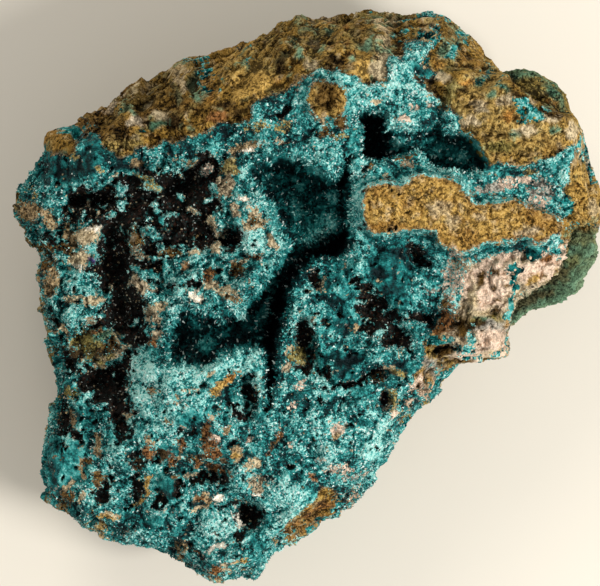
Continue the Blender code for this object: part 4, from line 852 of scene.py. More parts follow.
shaded = blots([(-17.5, 23.6, 4.0, 1.9, 22), (-24.5, 20.6, 2.5, 1.5), (-11.0, 22.6, 2.2, 1.0, 15)])
far_ridge = smooth((SEEN_Y - 31.5) / 3) * smooth((SEEN_X + 3) / 6)
on_tongue = smooth(frayed(TONGUE) / 0.5 + 0.5)
tongue_edge = on_tongue * smooth(1 - frayed(TONGUE) / 0.8)
pale_rock = blots([(23.5, 2.0, 7.0, 5.5, 30), (20.5, -5.5, 4.5, 3.4, 15)]) * (1 - on_tongue)
for amount, pigment in (
        (shaded * 0.65, "brown"), (far_ridge * 0.55, "olive"), (pale_rock * 0.8, "shell"),
        (on_tongue * 0.80, "gold"), (on_tongue * spots(1.3, 111, 0.20, 0.5) * 0.60, "cream"),
        (on_tongue * spots(1.5, 114, 0.25, 0.5) * 0.70, "bronze"),
        (blots([(16.0, 10.7, 1.3, 1.0), (20.8, 9.8, 0.8, 0.5), (17.2, 9.3, 0.9, 0.6)]) * 0.6, "cream"),
        (blots([(28.0, 9.2, 2.6, 0.9, -25), (19.0, 7.2, 1.5, 0.9), (10, 8.6, 2.0, 0.5)]) * 0.6, "bronze"),
        (blots([(26.6, 7.8, 1.6, 0.5, 10)]) * 0.6, "shell"), (tongue_edge * 0.6, "bronze"),
        (smooth(within(BLOCK) / 2) * 0.60, "straw"),
        (blots([(33.6, 13.0, 2.2, 5.5), (33.0, 18.0, 1.6, 3.0, 20)]) * 0.6, "gold"),
        (blots([(35.4, 12.0, 0.8, 3.0), (33.2, 17.5, 1.2, 1.2)]) * 0.6, "cream")):
    stone = tinted(stone, amount, pigment)
print("the tongue covers", square_mm(on_tongue), "square mm")

# %% Colour of the ledge, the knob and the rock under the crust
lobe_rim = [(26.3, 28.9, 2.6, 0.7, -3), (30.2, 27.9, 1.6, 0.7, -35), (32.6, 25.0, 0.7, 2.4, 10)]
to_edge = outline_radius(np.arctan2(Y, X)) - np.hypot(X, Y)
ledge_rim = smooth((2.4 - to_edge + 0.9 * FRAY) / 1.6)
knob_share = off_knob / KNOB[2]
lit_side = smooth(0.4 + np.abs(SEEN_X - 2.4) / 3 - (SEEN_Y - 24) / 3)
rusty = smooth(frayed(BARE)) * smooth((-24.6 - SEEN_Y) / 1.2)
under_crust = on_crust * smooth(-within(BARE) / 1.0) * smooth((off_knob - KNOB[2]) / 0.8)
for amount, pigment in (
        (lobe * 0.6, "olive"), (blots(lobe_rim) * 0.8, "green"), (ledge * 0.9, "green"),
        (np.maximum(ledge_rim, spots(2.2, 135, 0.15, 0.6)) * ledge * 0.75, "sage"),
        (blots([(28.4, -0.4, 2.6, 0.8, 22), (32.0, 2.6, 1.4, 0.8, 40)]) * ledge * 0.6, "brown"),
        (blots([(34.6, 7.4, 1.8, 0.9), (33.6, 4.6, 0.9, 0.7)]) * ledge * 0.5, "olive"),
        (smooth(2.0 * (1.15 - knob_share)) * 0.9, "brown"),
        (smooth(1 - np.abs(knob_share - 0.8) / 0.3) * 0.8 * lit_side, "gold"),
        (rusty * 0.8, "rust"), (under_crust * 0.85, "beige")):
    stone = tinted(stone, amount, pigment)
for seed, pigment in ((124, "brown"), (127, "cream"), (130, "dark"), (133, "grey")):
    stone = tinted(stone, on_crust * spots(1.8, seed, 0.0) * (0.5 if pigment == "dark" else 0.8), pigment)
for pigment, patches in STONE:
    for patch in patches:
        place, strength = blot(*patch[:5])
        stone[place] = tinted(stone[place], strength, pigment)
print("patches of bare stone:", sum(len(patches) for _, patches in STONE))

# %% [markdown]
# ## Teal: where it is, and how pale
# The open crust is pale aqua where its blades are loose and catch the light, and deep blue-green
# where they are dense and glassy. A few islands of it also sit on the bare rock.

# %% Islands, pale patches and deep patches
ISLANDS = [
    (16.1, -5.3, 1.9, .5, 0, .8), (18.6, -6.6, 1, .7, 0, .6), (16.2, -8.4, 1, .5, 10, .6),
    (-23.4, 23.6, .8, 1, 0, .95), (-23, 25.2, 1.4, .5, 30, .8), (-11.8, 25.4, 1.2, .45, 25, .9),
    (-7.4, 28.4, .8, .5, 0, .7), (-8.4, 33, 1.6, .5, 20, .8), (-16.2, 28.5, 1, .4, 30, .7),
    (13, 29.6, 1.6, 1.6), (14.6, 31, 1, .6), (14.2, 27.5, 1.6, .6, -30, .95), (26.7, 22.9, 2.1, .9, -32),
    (29.4, 23.2, .5, .4, 0, .8), (20, 31.2, 1, .35, -20, .9), (17.4, 29.7, .9, .6, 10, .7),
    (16.8, 33.3, 1.2, .6, -30, .6), (11, 32.3, .5, .8, 20, .6), (20.8, 26.3, .6, .4, 0, .6),
    (23.7, 25.8, .7, .4, -30, .5), (33.4, 19.2, .5, 1.3, 20, .8), (30.6, 16.2, 2.6, .9, 45),
    (30.9, 14, .7, 1.7), (31.2, 11, 1.1, 1.4, -30, .9), (29.2, 28.2, 2.6, .5, -30, .6),
    (25.2, 28.6, 2, .5, 5, .6), (31.9, 25.6, .5, 1.8, 10, .6), (26.2, 21.7, .9, .4, 0, .6),
    (-20.5, 20.4, .6, .3, 0, .5), (7.8, 34.8, 1.2, .5, -10, .4), (25.3, 3.3, .8, .5, 0, .95),
    (25.2, 1.4, .3, 1.3, -5, .9), (24.6, -1.7, .5, 1.7, -15, .95), (27.6, 5.6, 1.4, .9, 10, .95),
    (30.3, 5.6, .8, .7, 0, .8), (19.8, -5.4, .6, 1.7, 0, .7), (14.9, -11.9, 2.3, .35, 25, .9),
    (32.6, 8.4, .6, .8, 0, .5), (23.2, 6, 2.4, .5, 10, .9), (22.3, 3.2, .3, .9, -25, .5),
    (-31, 22, 2, .4, 5, .4),
]
# x, y, half length, half width, turn, change of tone
PALE = [
    (17.2, 3.4, 1.8, 2.8, 0, .24), (17.4, -.6, 1.2, 1.6, 0, .2), (-2, -28.5, 3, 2, 0, .15),
    (-20.5, -9.5, 2.2, 3.4, 0, .3), (-18.5, -13.2, 3.2, 2.6, 0, .26), (-16, -9.6, 2.4, 1, 0, .26),
    (-10.5, -8.3, 4.5, 1.1, 12, .22), (-6.1, -9.2, .5, 1.3, 0, .3), (1.6, 17.6, 3.6, 1.2, -8, .22),
    (3, 27, 3.6, .8, -5, .22), (-.7, 22.2, 1.3, 1.8, 0, .2), (8.8, 25.4, 4, 1.6, 0, .16),
    (13.5, 24.2, 3, 1.8, 0, .14), (-6.8, 7.4, 1.2, 1.5, 0, .3), (-9.5, 1.6, 2.6, .8, 10, .2),
    (-28.9, 1.9, 1.5, 1.2, 0, .22), (-29, -2, 1.7, 1.5, 0, .22), (-17.1, -1, .9, .8, 0, .3),
    (0, -15.6, 4, 1.6, 0, .16), (6.5, -17.5, 3.4, 2.4, 30, .22), (9.3, -17, 1.8, 3.4, -35, .2),
    (-3, -25, 3, 2.8, 0, .22), (1.5, -19.5, 2.2, 1, 0, .15), (-11.5, -27.9, 1.9, 1.7, 0, .25),
    (13.9, 1.4, 2.2, 1.4, 30, .14), (12.6, -2.4, .7, 2.6, 0, .14), (-23.4, -19.6, 1.6, 1.3, 0, .2),
    (-23.4, -24.9, 1.3, 1, 0, .15), (6.2, 26.6, 3, 1.2, 0, .12), (-8.3, 15.4, .6, 1, 0, .3),
    (-5.3, 3.6, 1.3, .5, 30, .3), (-18.8, -22.4, .4, 1, 0, .2), (-13.8, 5.4, 1.5, .7, 0, .2),
    (-21.8, -29.5, 3, .9, -8, .1), (.5, -2.4, 1.2, .4, 30, .2), (10, 14.4, 3, .5, 5, .25),
]
DEEP = [
    (-30, 16, 3.4, 2.2, 10, .22), (-26.8, 17.2, 1.5, 2.4, 0, .3), (-22, 16.4, 2.5, 1.2, 0, .12),
    (10.2, 3.4, 2.6, 3.4, 0, .34), (10.5, .2, 1.8, 1.5, 0, .32), (4, 1.5, 3, 2.6, 0, .18),
    (4.5, -2.4, 2.2, 2, 0, .2), (-17.2, -23.4, 1.5, 1.3, 0, .32), (4.3, -9, 1.7, 1.6, 0, .32),
    (4.6, -7.4, 2.6, .9, 0, .25), (-15, -14.9, 1.5, 1, 0, .28), (-17.3, -18.6, 1, .7, 0, .3),
    (10.8, -8.5, 1.7, .9, -20, .3), (11.9, -13, .8, 1.2, 0, .3), (23.2, 6, 2.4, .5, 10, .25),
    (27.6, 5.6, 1.4, .9, 10, .3), (25.3, 3.3, .8, .5, 0, .34), (25.2, 1.4, .3, 1.3, 0, .3),
    (24.6, -1.7, .5, 1.7, -15, .28), (-31.5, -6, 1.4, 3.6, 0, .2), (-30, -11.5, 1.4, 1.6, 0, .2),
    (-28, -14.5, 1.6, 1.6, 0, .2), (6.8, 2.8, 1.5, 1.4, 0, .12), (14.2, 27.5, 1.6, .6, -30, .3),
    (-23.4, 23.6, .8, 1, 0, .32), (-31, -20.8, 2.3, 3, 0, .14), (-18.3, -27.8, 1.3, .7, 0, .25),
    (7, -15.6, 1.6, .5, 0, .2), (-2, -20.4, 1.2, .5, 20, .18), (.2, -23.4, 1, .5, 0, .12),
    (20, 31.2, 1, .35, -20, .35), (-19, 3.6, 2, .8, 0, .25), (-18.2, 9.4, .6, 1.8, 10, .2),
    (-27.4, -27.2, 2.6, .7, -40, .2), (5.5, 18, .9, 2.2, 0, .2), (22.5, 15.2, 2, .5, 0, .12),
    (-15.6, -29, 1.4, 1, 0, .15), (-9.5, -12.6, 1.2, 1, 0, .15), (14, -7.6, .9, 1.6, 0, .1),
]
# spots of solid turquoise: x, y, half length, half width, turn (deg), strength
VIVID = [
    (-28.9, 1.9, 1.5, .8, -10, .9), (-25.8, -1.2, .6, .7, 0, .9), (-14.1, 4.5, 1.6, .8, 0, .8),
    (-17.1, -.9, .5, .5, 0, .9), (-24.4, 8, .3, .5, 0, .8), (-10.6, 3.2, .8, .5, 0, .7),
    (3, 27, 3, .6, -5, .6), (9, 24.6, 2, .7, 0, .5), (30.6, 16.2, 2.2, .8, 45, .8),
]
print(len(ISLANDS), "islands of teal,", len(PALE) + len(DEEP), "changes of tone")

# %% Teal share
teal = smooth(in_crust / 0.5 + 0.5)
islands = np.clip(1.5 * blots(ISLANDS, 0.2) - 0.2, 0, 1) * (1 - on_crust)
teal = np.maximum(teal * (1 - showing), islands)
# the veins at the lower right stay whole on the crust too
teal = np.maximum(teal, blots([p for p in ISLANDS if p[0] > 14 and p[1] < 9]))
print("teal covers", square_mm(teal), "square mm")

# %% Tone of the teal, and how dense its crystals stand
CRUST_TONE = 0.615
BAND_TONE = 0.78  # pale seam where the crust meets the tongue and the knob
VIVID_TONE = 0.76
tone = CRUST_TONE + 0.16 * swell(X, Y, 4.0, 95) + 0.26 * swell(X, Y, 1.2, 96)
# each dome gets a random tone; its seams get painted shade
for relief, amount in ((head_pick, 0.26), (knob_pick, 0.26), (seams, -0.20), (knob_seams, -0.14)):
    tone += amount * relief
tone += 0.20 * smooth(in_crust / 0.3) * smooth((1.7 - in_crust) / 0.8) * (Y > 5) * (X > 0)
band = smooth(1.5 - np.abs(-frayed(TONGUE) - 0.6) / 0.85) * (X < 25)
band = np.maximum(band, smooth(1.5 - np.abs(off_knob - KNOB[2] - 0.7) / 0.8))
tone -= 0.10 * smooth((Y - 13) / 4) * smooth((2 - X) / 4)
in_any = smooth(in_hollow / 0.9 + 0.15)
hollow_tone = 0.56 + 0.14 * swell(X, Y, 3.2, 97) + 0.08 * swell(X, Y, 1.1, 98)
hollow_tone -= 0.20 * smooth((-2 - Y) / 3) * smooth(in_vug / 0.8)
hollow_tone += (0.32 * smooth((X - 9) / 3) - 0.20) * smooth(in_cavity / 0.8)
for x, y, r in ROSETTES:
    hollow_tone += 0.20 * smooth(1.6 - np.hypot(X - x, Y - y) / r)
tone += (hollow_tone - tone) * in_any
# painted shade: the teal is darker along the cleft
tone -= 0.40 * smooth(1.5 - along(X, Y, CLEFT) / 1.3)
for patches, way in ((PALE, 1.3), (DEEP, -0.8)):
    for patch in patches:
        place, strength = blot(*patch)
        tone[place] += way * strength
tone += band * np.clip(BAND_TONE - tone, 0, 1) * 0.9
vivid = np.maximum(blots(VIVID), islands * (tone > 0.55))
tone += 0.85 * vivid * (VIVID_TONE - tone)
# thin pale rims of fine crystals round the voids
tone += 0.7 * np.clip(blurred(black, 0.45) * (1 - black) - 0.05, 0, 0.4) * (1 - in_any)
dense = blots([(x, y, half, wide, turn, min(1.0, 4.0 * change)) for x, y, half, wide, turn, change in DEEP])
dense = np.maximum(dense, 0.8 * spots(2.6, 98, 0.35, 0.3) * (1 - blots(PALE))) * (1 - band)
for also in (0.6 * pale_rock * (1 - teal), 0.9 * corner, in_any, 0.5 * band, 0.5 * vivid, 0.8 * ledge):
    dense = np.maximum(dense, also)
tone += 0.15 * plate * smooth(in_crust)
tone = np.where(tone > 0.7, 0.7 + 0.55 * (tone - 0.7), tone)

# how far each spot lies below its surroundings, near and wide: the finishes paint shade into the low spots
# and a little highlight onto the high ones
hollow = 0.55 * np.clip((blurred(H, 0.35) - H) / 0.30, -1, 1)
hollow += 0.45 * np.clip((blurred(H, 1.6) - H) / 1.4, -1, 1)
print("tone from", round(float(tone.min()), 2), "to", round(float(tone.max()), 2))

# %% [markdown]
# ## From map to mesh
# The upper face is a height map, but near the outline the stone rounds over and drops down its side,
# where a map seen from above has no room. So the last few millimetres are unrolled: the distance along
# the surface decides how far round the shoulder a point sits. A plain grid then covers top and shoulder
# with even faces.

# %% Lift points from the map onto the stone
SHOULDER_RUN = 8.0  # extra surface length that the shoulder is unrolled over, mm


def shoulder(s, angle):
    """Share of the way round the shoulder, 0 on the flat and 1 at the outline."""
    start = outline_radius(angle) - rim_slope(angle)
    return np.clip((s - start) / (rim_slope(angle) + SHOULDER_RUN), 0, 1)


def map_place(s, angle):
    """Where on the map a surface distance lands: x, y, distance out, and turn round the shoulder."""
    turn = (1 - shoulder(s, angle)) * math.pi / 2
    out = np.minimum(s, outline_radius(angle) - rim_slope(angle) * (1 - np.cos(turn)))
    return out * np.cos(angle), out * np.sin(angle), out, turn


def lift(s, angle, heights, proud):
    """Points at surface distance s from the middle, `proud` millimetres off the surface."""
    x, y, out, turn = map_place(s, angle)
    low = rim_height(angle)
    z = low + (sample(heights, x, y) - low) * np.sin(turn)
    out = out + proud * np.cos(turn)
    return np.stack([out * np.cos(angle), out * np.sin(angle), z + proud * np.sin(turn)], axis=1)


def mesh_of(name, points, faces):
    """A Blender mesh object from arrays, still in millimetres."""
    mesh = bpy.data.meshes.new(name)
    width = faces.shape[1]
    mesh.vertices.add(len(points))
    mesh.vertices.foreach_set("co", np.asarray(points, np.float32).ravel())
    mesh.loops.add(faces.size)
    mesh.loops.foreach_set("vertex_index", faces.astype(np.int32).ravel())
    mesh.polygons.add(len(faces))
    mesh.polygons.foreach_set("loop_start", np.arange(0, faces.size, width, dtype=np.int32))
    mesh.update(calc_edges=True)
    mesh.validate()
    return placed(name, mesh)


def vectors_of(thing, what):
    got = np.empty(len(thing.data.vertices) * 3, np.float32)
    thing.data.vertices.foreach_get(what, got)
    return got.reshape(-1, 3).astype(float)


def points_of(thing):
    return vectors_of(thing, "co")


def normals_of(thing):
    return vectors_of(thing, "normal")


def inland_of(points):
    """Direction of each point from the middle, and its distance in from the outline."""
    angle = np.arctan2(points[:, 1], points[:, 0])
    return angle, outline_radius(angle) - np.hypot(points[:, 0], points[:, 1])


def flat_share(angle, inland):
    """1 on the flat top, 0 on the side."""
    return smooth((inland / rim_slope(angle) - 0.35) / 0.5)


def set_points(thing, points):
    thing.data.vertices.foreach_set("co", np.asarray(points, np.float32).ravel())
    thing.data.update()


def bake(thing):
    """Apply the modifiers by reading the evaluated object back as a plain mesh."""
    graph = bpy.context.evaluated_depsgraph_get()
    fresh = bpy.data.meshes.new_from_object(thing.evaluated_get(graph))
    thing.modifiers.clear()
    thing.data = fresh


def thin_out(thing, weights, faces_left):
    """Let Decimate merge faces, mostly where the weights are high."""
    group = thing.vertex_groups.new(name="thin")
    for level in np.unique(weights):
        group.add([int(i) for i in np.flatnonzero(weights == level)], float(level), "REPLACE")
    cut = thing.modifiers.new("thin", "DECIMATE")
    cut.ratio = min(1.0, faces_left / triangle_count(thing.data))
    cut.vertex_group = "thin"
    cut.use_collapse_triangulate = True
    bake(thing)
    thing.vertex_groups.clear()


def triangle_count(mesh):
    return len(mesh.loops) - 2 * len(mesh.polygons)


print("a point 30 mm out, due east, sits at", lift(np.array([30.0]), np.array([0.0]), H, 0).round(1))

# %% [markdown]
# ## The host rock
# The rock is one closed lump. It starts as a sphere laid out over the plan: its cap becomes the upper
# face, its belt the broken sides, its bottom the flat base. A voxel remesh then makes the faces even,
# which a stretched sphere's are not. Flat breaks across the side come from cutting planes, the small
# facets from three dimensional cell noise.

# %% Host rock: sizes and fractures
TOP_PART, SHOULDER_PART, SIDE_PART = 0.42, 0.60, 0.82  # shares of the sphere's area
FOOT = 0.88
FOOT_HEIGHT = 2.2
WALL_LEAN = 0.10
ROCK_VOXEL = 0.30
ROCK_TRIANGLES = 190000
HIDDEN_MERGED = 0.94  # share of the faces under the crust that is merged away
UNDER_CRUST = 0.9
SIDE_IN = 0.40  # the side is broken inwards from the outline
SIDE_OUT = 0.10  # so that its flattened peaks just reach it
# flat fractures of the side: direction (deg), lean (deg), how deep it cuts into the outline
FRACTURES = [
    (4, 30, 1.2), (28, 10, 0.6), (47, 34, 1), (72, 16, 0.8), (98, 38, 0.6), (118, 20, 1), (138, 42, 0.4),
    (152, 12, 0.8), (176, 27, 0.7), (203, 14, 0.6), (222, 38, 0.8), (243, 20, 0.5), (262, 44, 0.6),
    (288, 16, 0.6), (306, 33, 0.5), (322, 12, 0.8), (341, 40, 0.8),
]

rock_top = H - UNDER_CRUST * np.maximum(smooth(in_crust / 0.7), smooth(in_hollow / 0.7))
print(len(FRACTURES), "flat fractures round the side")

# %% Host rock: a ball laid out over the plan
bm = bmesh.new()
bmesh.ops.create_icosphere(bm, subdivisions=7, radius=1.0)
unit = np.array([v.co for v in bm.verts])
ball_faces = np.array([[v.index for v in f.verts] for f in bm.faces])
bm.free()
share = (1 - np.clip(unit[:, 2], -1, 1)) / 2
angle = np.arctan2(unit[:, 1], unit[:, 0])
radius = outline_radius(angle)
flat_end = radius - rim_slope(angle)
s = np.where(share < TOP_PART, flat_end * np.sqrt(share / TOP_PART),
             flat_end + (rim_slope(angle) + SHOULDER_RUN) * (share - TOP_PART) / (SHOULDER_PART - TOP_PART))
upper = lift(np.minimum(s, radius + SHOULDER_RUN), angle, rock_top, 0)

u = np.clip((share - SHOULDER_PART) / (SIDE_PART - SHOULDER_PART), 0, 1)
v = np.clip((1 - share) / (1 - SIDE_PART), 0, 1)
lump = np.array([noise.noise((a * 2.4, b * 2.4, c * 2.4 + 5)) for a, b, c in unit])
fine = np.array([noise.noise((a * 6.5, b * 6.5, c * 6.5 + 9)) for a, b, c in unit])
bump = 0.05 * lump + 0.03 * fine
wall = 1 - WALL_LEAN * u ** 1.3 - 0.02 * u + bump * smooth(u * 2)
under = (FOOT + bump) * np.sqrt(v)
low = rim_height(angle)
wall_z = low * (1 - u) + FOOT_HEIGHT * u
under_z = FOOT_HEIGHT - 4.5 * smooth((1 - v) * 2.2)
lower = share > SHOULDER_PART
side = lower & (share <= SIDE_PART)
out = np.where(side, wall, under) * radius
points = upper.copy()
points[lower, 0] = (out * np.cos(angle))[lower]
points[lower, 1] = (out * np.sin(angle))[lower]
points[lower, 2] = (np.where(side, wall_z, under_z) + 0.8 * fine * smooth(u * 3))[lower]
print("the ball's", len(points), "points are laid out")

# %% Host rock: flat fractures and even faces
edge_x, edge_y = edge_places()
for turn, lean, cut in FRACTURES:
    turn, lean = math.radians(turn), math.radians(lean)
    across = np.array([math.cos(turn) * math.cos(lean), math.sin(turn) * math.cos(lean), -math.sin(lean)])
    close = np.abs((half_degrees - turn + math.pi) % (2 * math.pi) - math.pi) < math.radians(16)
    reach = edge_x * across[0] + edge_y * across[1] + rim_height(half_degrees) * across[2]
    reach = reach[close].max() - cut
    past = np.clip(points @ across - reach, 0, None) * smooth(u * 4) * lower
    points[:, 0] -= past * math.cos(turn)
    points[:, 1] -= past * math.sin(turn)
points[:, 2] = np.maximum(points[:, 2], 0)
rock = mesh_of("host_rock", points, ball_faces)
remesh = rock.modifiers.new("even", "REMESH")
remesh.mode = "VOXEL"
remesh.voxel_size = ROCK_VOXEL
bake(rock)
print("rock after the remesh:", triangle_count(rock.data), "triangles")

# %% Host rock: facets and cracks
points, normals = points_of(rock), normals_of(rock)
angle, inland = inland_of(points)
on_top = flat_share(angle, inland) * (points[:, 2] > rim_height(angle))
exact = sample(rock_top, points[:, 0], points[:, 1])
flat = (inland > rim_slope(angle)) & (points[:, 2] > rim_height(angle) + 2) & (normals[:, 2] > 0.1)
points[flat, 2] = exact[flat]


def broken(p, size):
    """Three dimensional facets: each cell's surface is a plane tilted its own way."""
    place = Vector(p) / size
    centre = noise.voronoi(place)[1][0]
    return (place - centre).dot(noise.cell_vector(centre * 7.3)) * 0.9


def side_break(p):
    """Large breaks of the side, shared by the rock and the crust on it."""
    push = 1.5 * broken(p, 7.0) + 0.7 * broken(p, 2.8) + 0.35 * noise.noise(p / 3.0)
    return min(push - SIDE_IN, SIDE_OUT)


push = np.zeros(len(points))
rough_side = np.flatnonzero((on_top < 0.98) & (points[:, 2] > 0.02))
for i in rough_side:
    p = points[i]
    push[i] = side_break(p) + 0.20 * broken(p, 1.3)
    push[i] += 0.12 * noise.noise(p / 0.9) + 0.06 * noise.noise(p / 0.45)
push = push * (1 - on_top) * smooth(points[:, 2] / 1.5)
# the tall step above the ledge is broken too, inwards
step = smooth(6 * sample(blurred(ledge, 1.5), points[:, 0], points[:, 1]))
step *= smooth((0.65 - normals[:, 2]) / 0.3)
for i in np.flatnonzero(step * on_top > 0.02):
    p = points[i]
    dent = 0.9 * broken(p, 3.0) + 0.4 * broken(p, 1.3) + 0.15 * noise.noise(p / 0.8) - 0.5
    push[i] += dent * step[i] * on_top[i]
points = points + normals * push[:, None]
points[:, 2] = np.maximum(points[:, 2], 0)
set_points(rock, points)
crust_here = sample(np.maximum(in_crust, in_hollow), points[:, 0], points[:, 1])
hidden = ((crust_here > 1.0) & (on_top > 0.9)) | (points[:, 2] < 0.01)
before = triangle_count(rock.data)
thin_out(rock, hidden.astype(float), before * (1 - HIDDEN_MERGED * hidden.mean()))
print("rock without its hidden faces:", triangle_count(rock.data), "of", before)
if triangle_count(rock.data) > ROCK_TRIANGLES:
    thin_out(rock, np.ones(len(rock.data.vertices)), ROCK_TRIANGLES)
print("rock:", triangle_count(rock.data), "triangles")

# %% [markdown]
# ## The crust and the linings
# A crust is a thin closed sheet: a fine upper skin that follows the map, and a coarse underside sunk in
# the rock. Past its border each sheet dives below its neighbour, so the border that shows is where two
# rough surfaces cross, as irregular as in nature.

# %% Sheets over the map
CRUST_STEP = 0.235
LINING_STEP = 0.24
DIVE = 0.75  # how far a sheet sinks past its border
SHEET = 1.1  # thickness


def grid_sheet(name, step, keep, proud):
    """A closed sheet over the grid cells that `keep` accepts, `proud` off the surface."""
    reach = np.arange(-46, 46 + step / 2, step)
    gx, gy = np.meshgrid(reach, reach)
    count = len(reach)
    px, py = gx.ravel(), gy.ravel()
    ok = keep(px, py).reshape(count, count)
    cell = ok[:-1, :-1] & ok[1:, :-1] & ok[:-1, 1:] & ok[1:, 1:]
    row, column = np.nonzero(cell)
    a = row * count + column
    quads = np.stack([a, a + 1, a + count + 1, a + count], axis=1)
    used, index = np.unique(quads, return_inverse=True)
    quads = index.reshape(-1, 4)
    px, py = px[used], py[used]
    s, angle = np.hypot(px, py), np.arctan2(py, px)
    top = lift(s, angle, H, proud(px, py))
    bottom = lift(s, angle, H, proud(px, py) - SHEET)
    # split each quad along its flatter diagonal
    z = top[:, 2][quads]
    other = np.abs(z[:, 0] - z[:, 2]) > np.abs(z[:, 1] - z[:, 3])
    first = np.where(other[:, None], quads[:, [0, 1, 3]], quads[:, [0, 1, 2]])
    second = np.where(other[:, None], quads[:, [1, 2, 3]], quads[:, [0, 2, 3]])
    skin = np.concatenate([first, second])
    edges = np.concatenate([skin[:, [0, 1]], skin[:, [1, 2]], skin[:, [2, 0]]])
    key = np.sort(edges, axis=1)
    _, first_at, times = np.unique(key[:, 0] * len(top) + key[:, 1], return_index=True, return_counts=True)
    rim_edges = edges[first_at[times == 1]]
    n = len(top)
    walls = np.concatenate([
        np.stack([rim_edges[:, 1], rim_edges[:, 0], rim_edges[:, 0] + n], axis=1),
        np.stack([rim_edges[:, 1], rim_edges[:, 0] + n, rim_edges[:, 1] + n], axis=1),
    ])
    faces = np.concatenate([skin, skin[:, ::-1] + n, walls])
    return mesh_of(name, np.concatenate([top, bottom]), faces), n


def unrolled(px, py):
    """Map place and share of the shoulder of a point on the unrolled plan."""
    s, angle = np.hypot(px, py), np.arctan2(py, px)
    return (*map_place(s, angle)[:2], shoulder(s, angle))


def crust_keep(px, py):
    x, y, t = unrolled(px, py)
    return (sample(in_crust, x, y) > -0.6) & (sample(in_hollow, x, y) < 0.7) & (t < 0.985)


def crust_proud(px, py):
    x, y, t = unrolled(px, py)
    end = 0.76 + 0.22 * swell(px, py, 9.0, 101) + 0.12 * swell(px, py, 3.0, 102)
    end = np.clip(end + 0.05 * swell(px, py, 1.2, 103), 0.45, 0.93)
    fall = smooth(-sample(in_crust, x, y) / 0.5)
    fall = np.maximum(fall, smooth((sample(in_hollow, x, y) + 0.05) / 0.5))
    fall = np.maximum(fall, smooth((t - end) / 0.08))
    return 0.45 * smooth(t / 0.3) - (DIVE + 0.9 * smooth(t / 0.3)) * fall


crust, crust_skin = grid_sheet("teal_crust", CRUST_STEP, crust_keep, crust_proud)
print("crust:", triangle_count(crust.data), "triangles, half of them underneath")


def lining(name, inside):
    def keep(px, py):
        return sample(inside, px, py) > -0.6

    def proud(px, py):
        return -DIVE * smooth(-sample(inside, px, py) / 0.5)

    return grid_sheet(name, LINING_STEP, keep, proud)


vug_lining, vug_skin = lining("vug_lining", in_vug)
cavity_lining, cavity_skin = lining("cavity_lining", in_cavity)
print("linings:", triangle_count(vug_lining.data), triangle_count(cavity_lining.data))

# %% Roughen the shoulder of the crust, and thin out the undersides
points, outer = points_of(crust), normals_of(crust)
steep = 1 - flat_share(*inland_of(points))
outer[crust_skin:] = -outer[crust_skin:]
for i in np.flatnonzero(steep > 0.02):
    p = points[i]
    push = side_break(p)
    if i < crust_skin:
        push += 0.26 * broken(p, 1.5) + 0.22 * noise.noise(p / 1.0) + 0.12 * noise.noise(p / 0.45)
    points[i] += outer[i] * push * steep[i]
set_points(crust, points)
for sheet, skin, left in (
        (crust, crust_skin, 0.56), (vug_lining, vug_skin, 0.6), (cavity_lining, cavity_skin, 0.6)):
    under = (np.arange(len(sheet.data.vertices)) >= skin).astype(float)
    thin_out(sheet, under, triangle_count(sheet.data) * left)
    print(sheet.name, triangle_count(sheet.data), "triangles")

# %% [markdown]
# ## Painting the map onto the meshes
# Each vertex reads the map at its own place and keeps the result as named attributes. The sides have no
# place on a map seen from above, so three dimensional noise paints them: brown broken rock, a little
# olive, and stray teal that thins out downwards.

# %% Paint the vertices
def relief_of(thing, p, n, rounds):
    """How far each vertex lies below its neighbours' average, after some rounds of averaging."""
    ends = np.empty(len(thing.data.edges) * 2, np.int32)
    thing.data.edges.foreach_get("vertices", ends)
    first, second = ends[::2], ends[1::2]
    both, other = np.concatenate([first, second]), np.concatenate([second, first])
    count = np.maximum(np.bincount(both, minlength=len(p)), 1)
    soft = p.copy()
    for _ in range(rounds):
        for axis in range(3):
            soft[:, axis] = np.bincount(both, weights=soft[other, axis], minlength=len(p)) / count
    return ((soft - p) * n).sum(axis=1)


def noise_at(p, where, size, shift=0.0):
    found = np.zeros(len(p))
    for i in where:
        found[i] = noise.noise(p[i] / size + np.array((shift, 0, 0)))
    return found


def read_from_side(p, n):
    """A spot on the side repeats what lies above it near the edge, mirrored and bent."""
    x, y = p[:, 0], p[:, 1]
    angle, inland = inland_of(p)
    drop = np.clip(sample(H, x, y) - p[:, 2] - 0.8, 0, 16) * smooth(1.3 - inland / rim_slope(angle))
    near = np.flatnonzero(drop > 0.1)
    big, mid, tiny = noise_at(p, near, 8.0), noise_at(p, near, 2.6, 7.0), noise_at(p, near, 0.9)
    bend = smooth(drop / 2)
    shelf = sample(np.maximum(ledge, lobe), x, y)
    toward = 1 - 0.55 * (1 - shelf) * drop / np.maximum(np.hypot(x, y), 1)
    x = x * toward + bend * (1.6 * mid + 0.8 * tiny)
    y = y * toward + bend * (1.6 * noise_at(p, near, 2.6, 17.0) + 0.8 * noise_at(p, near, 0.9, 9.0))
    # steep faces have little room on the map, so they read it through bends of their own
    steep = smooth((0.6 - n[:, 2]) / 0.3)
    where = np.flatnonzero(steep > 0.02)
    x += 1.3 * steep * noise_at(p, where, 1.8, 27.0)
    y += 1.3 * steep * noise_at(p, where, 1.8, 37.0)
    return x, y, drop, bend, shelf, (big, mid, tiny)


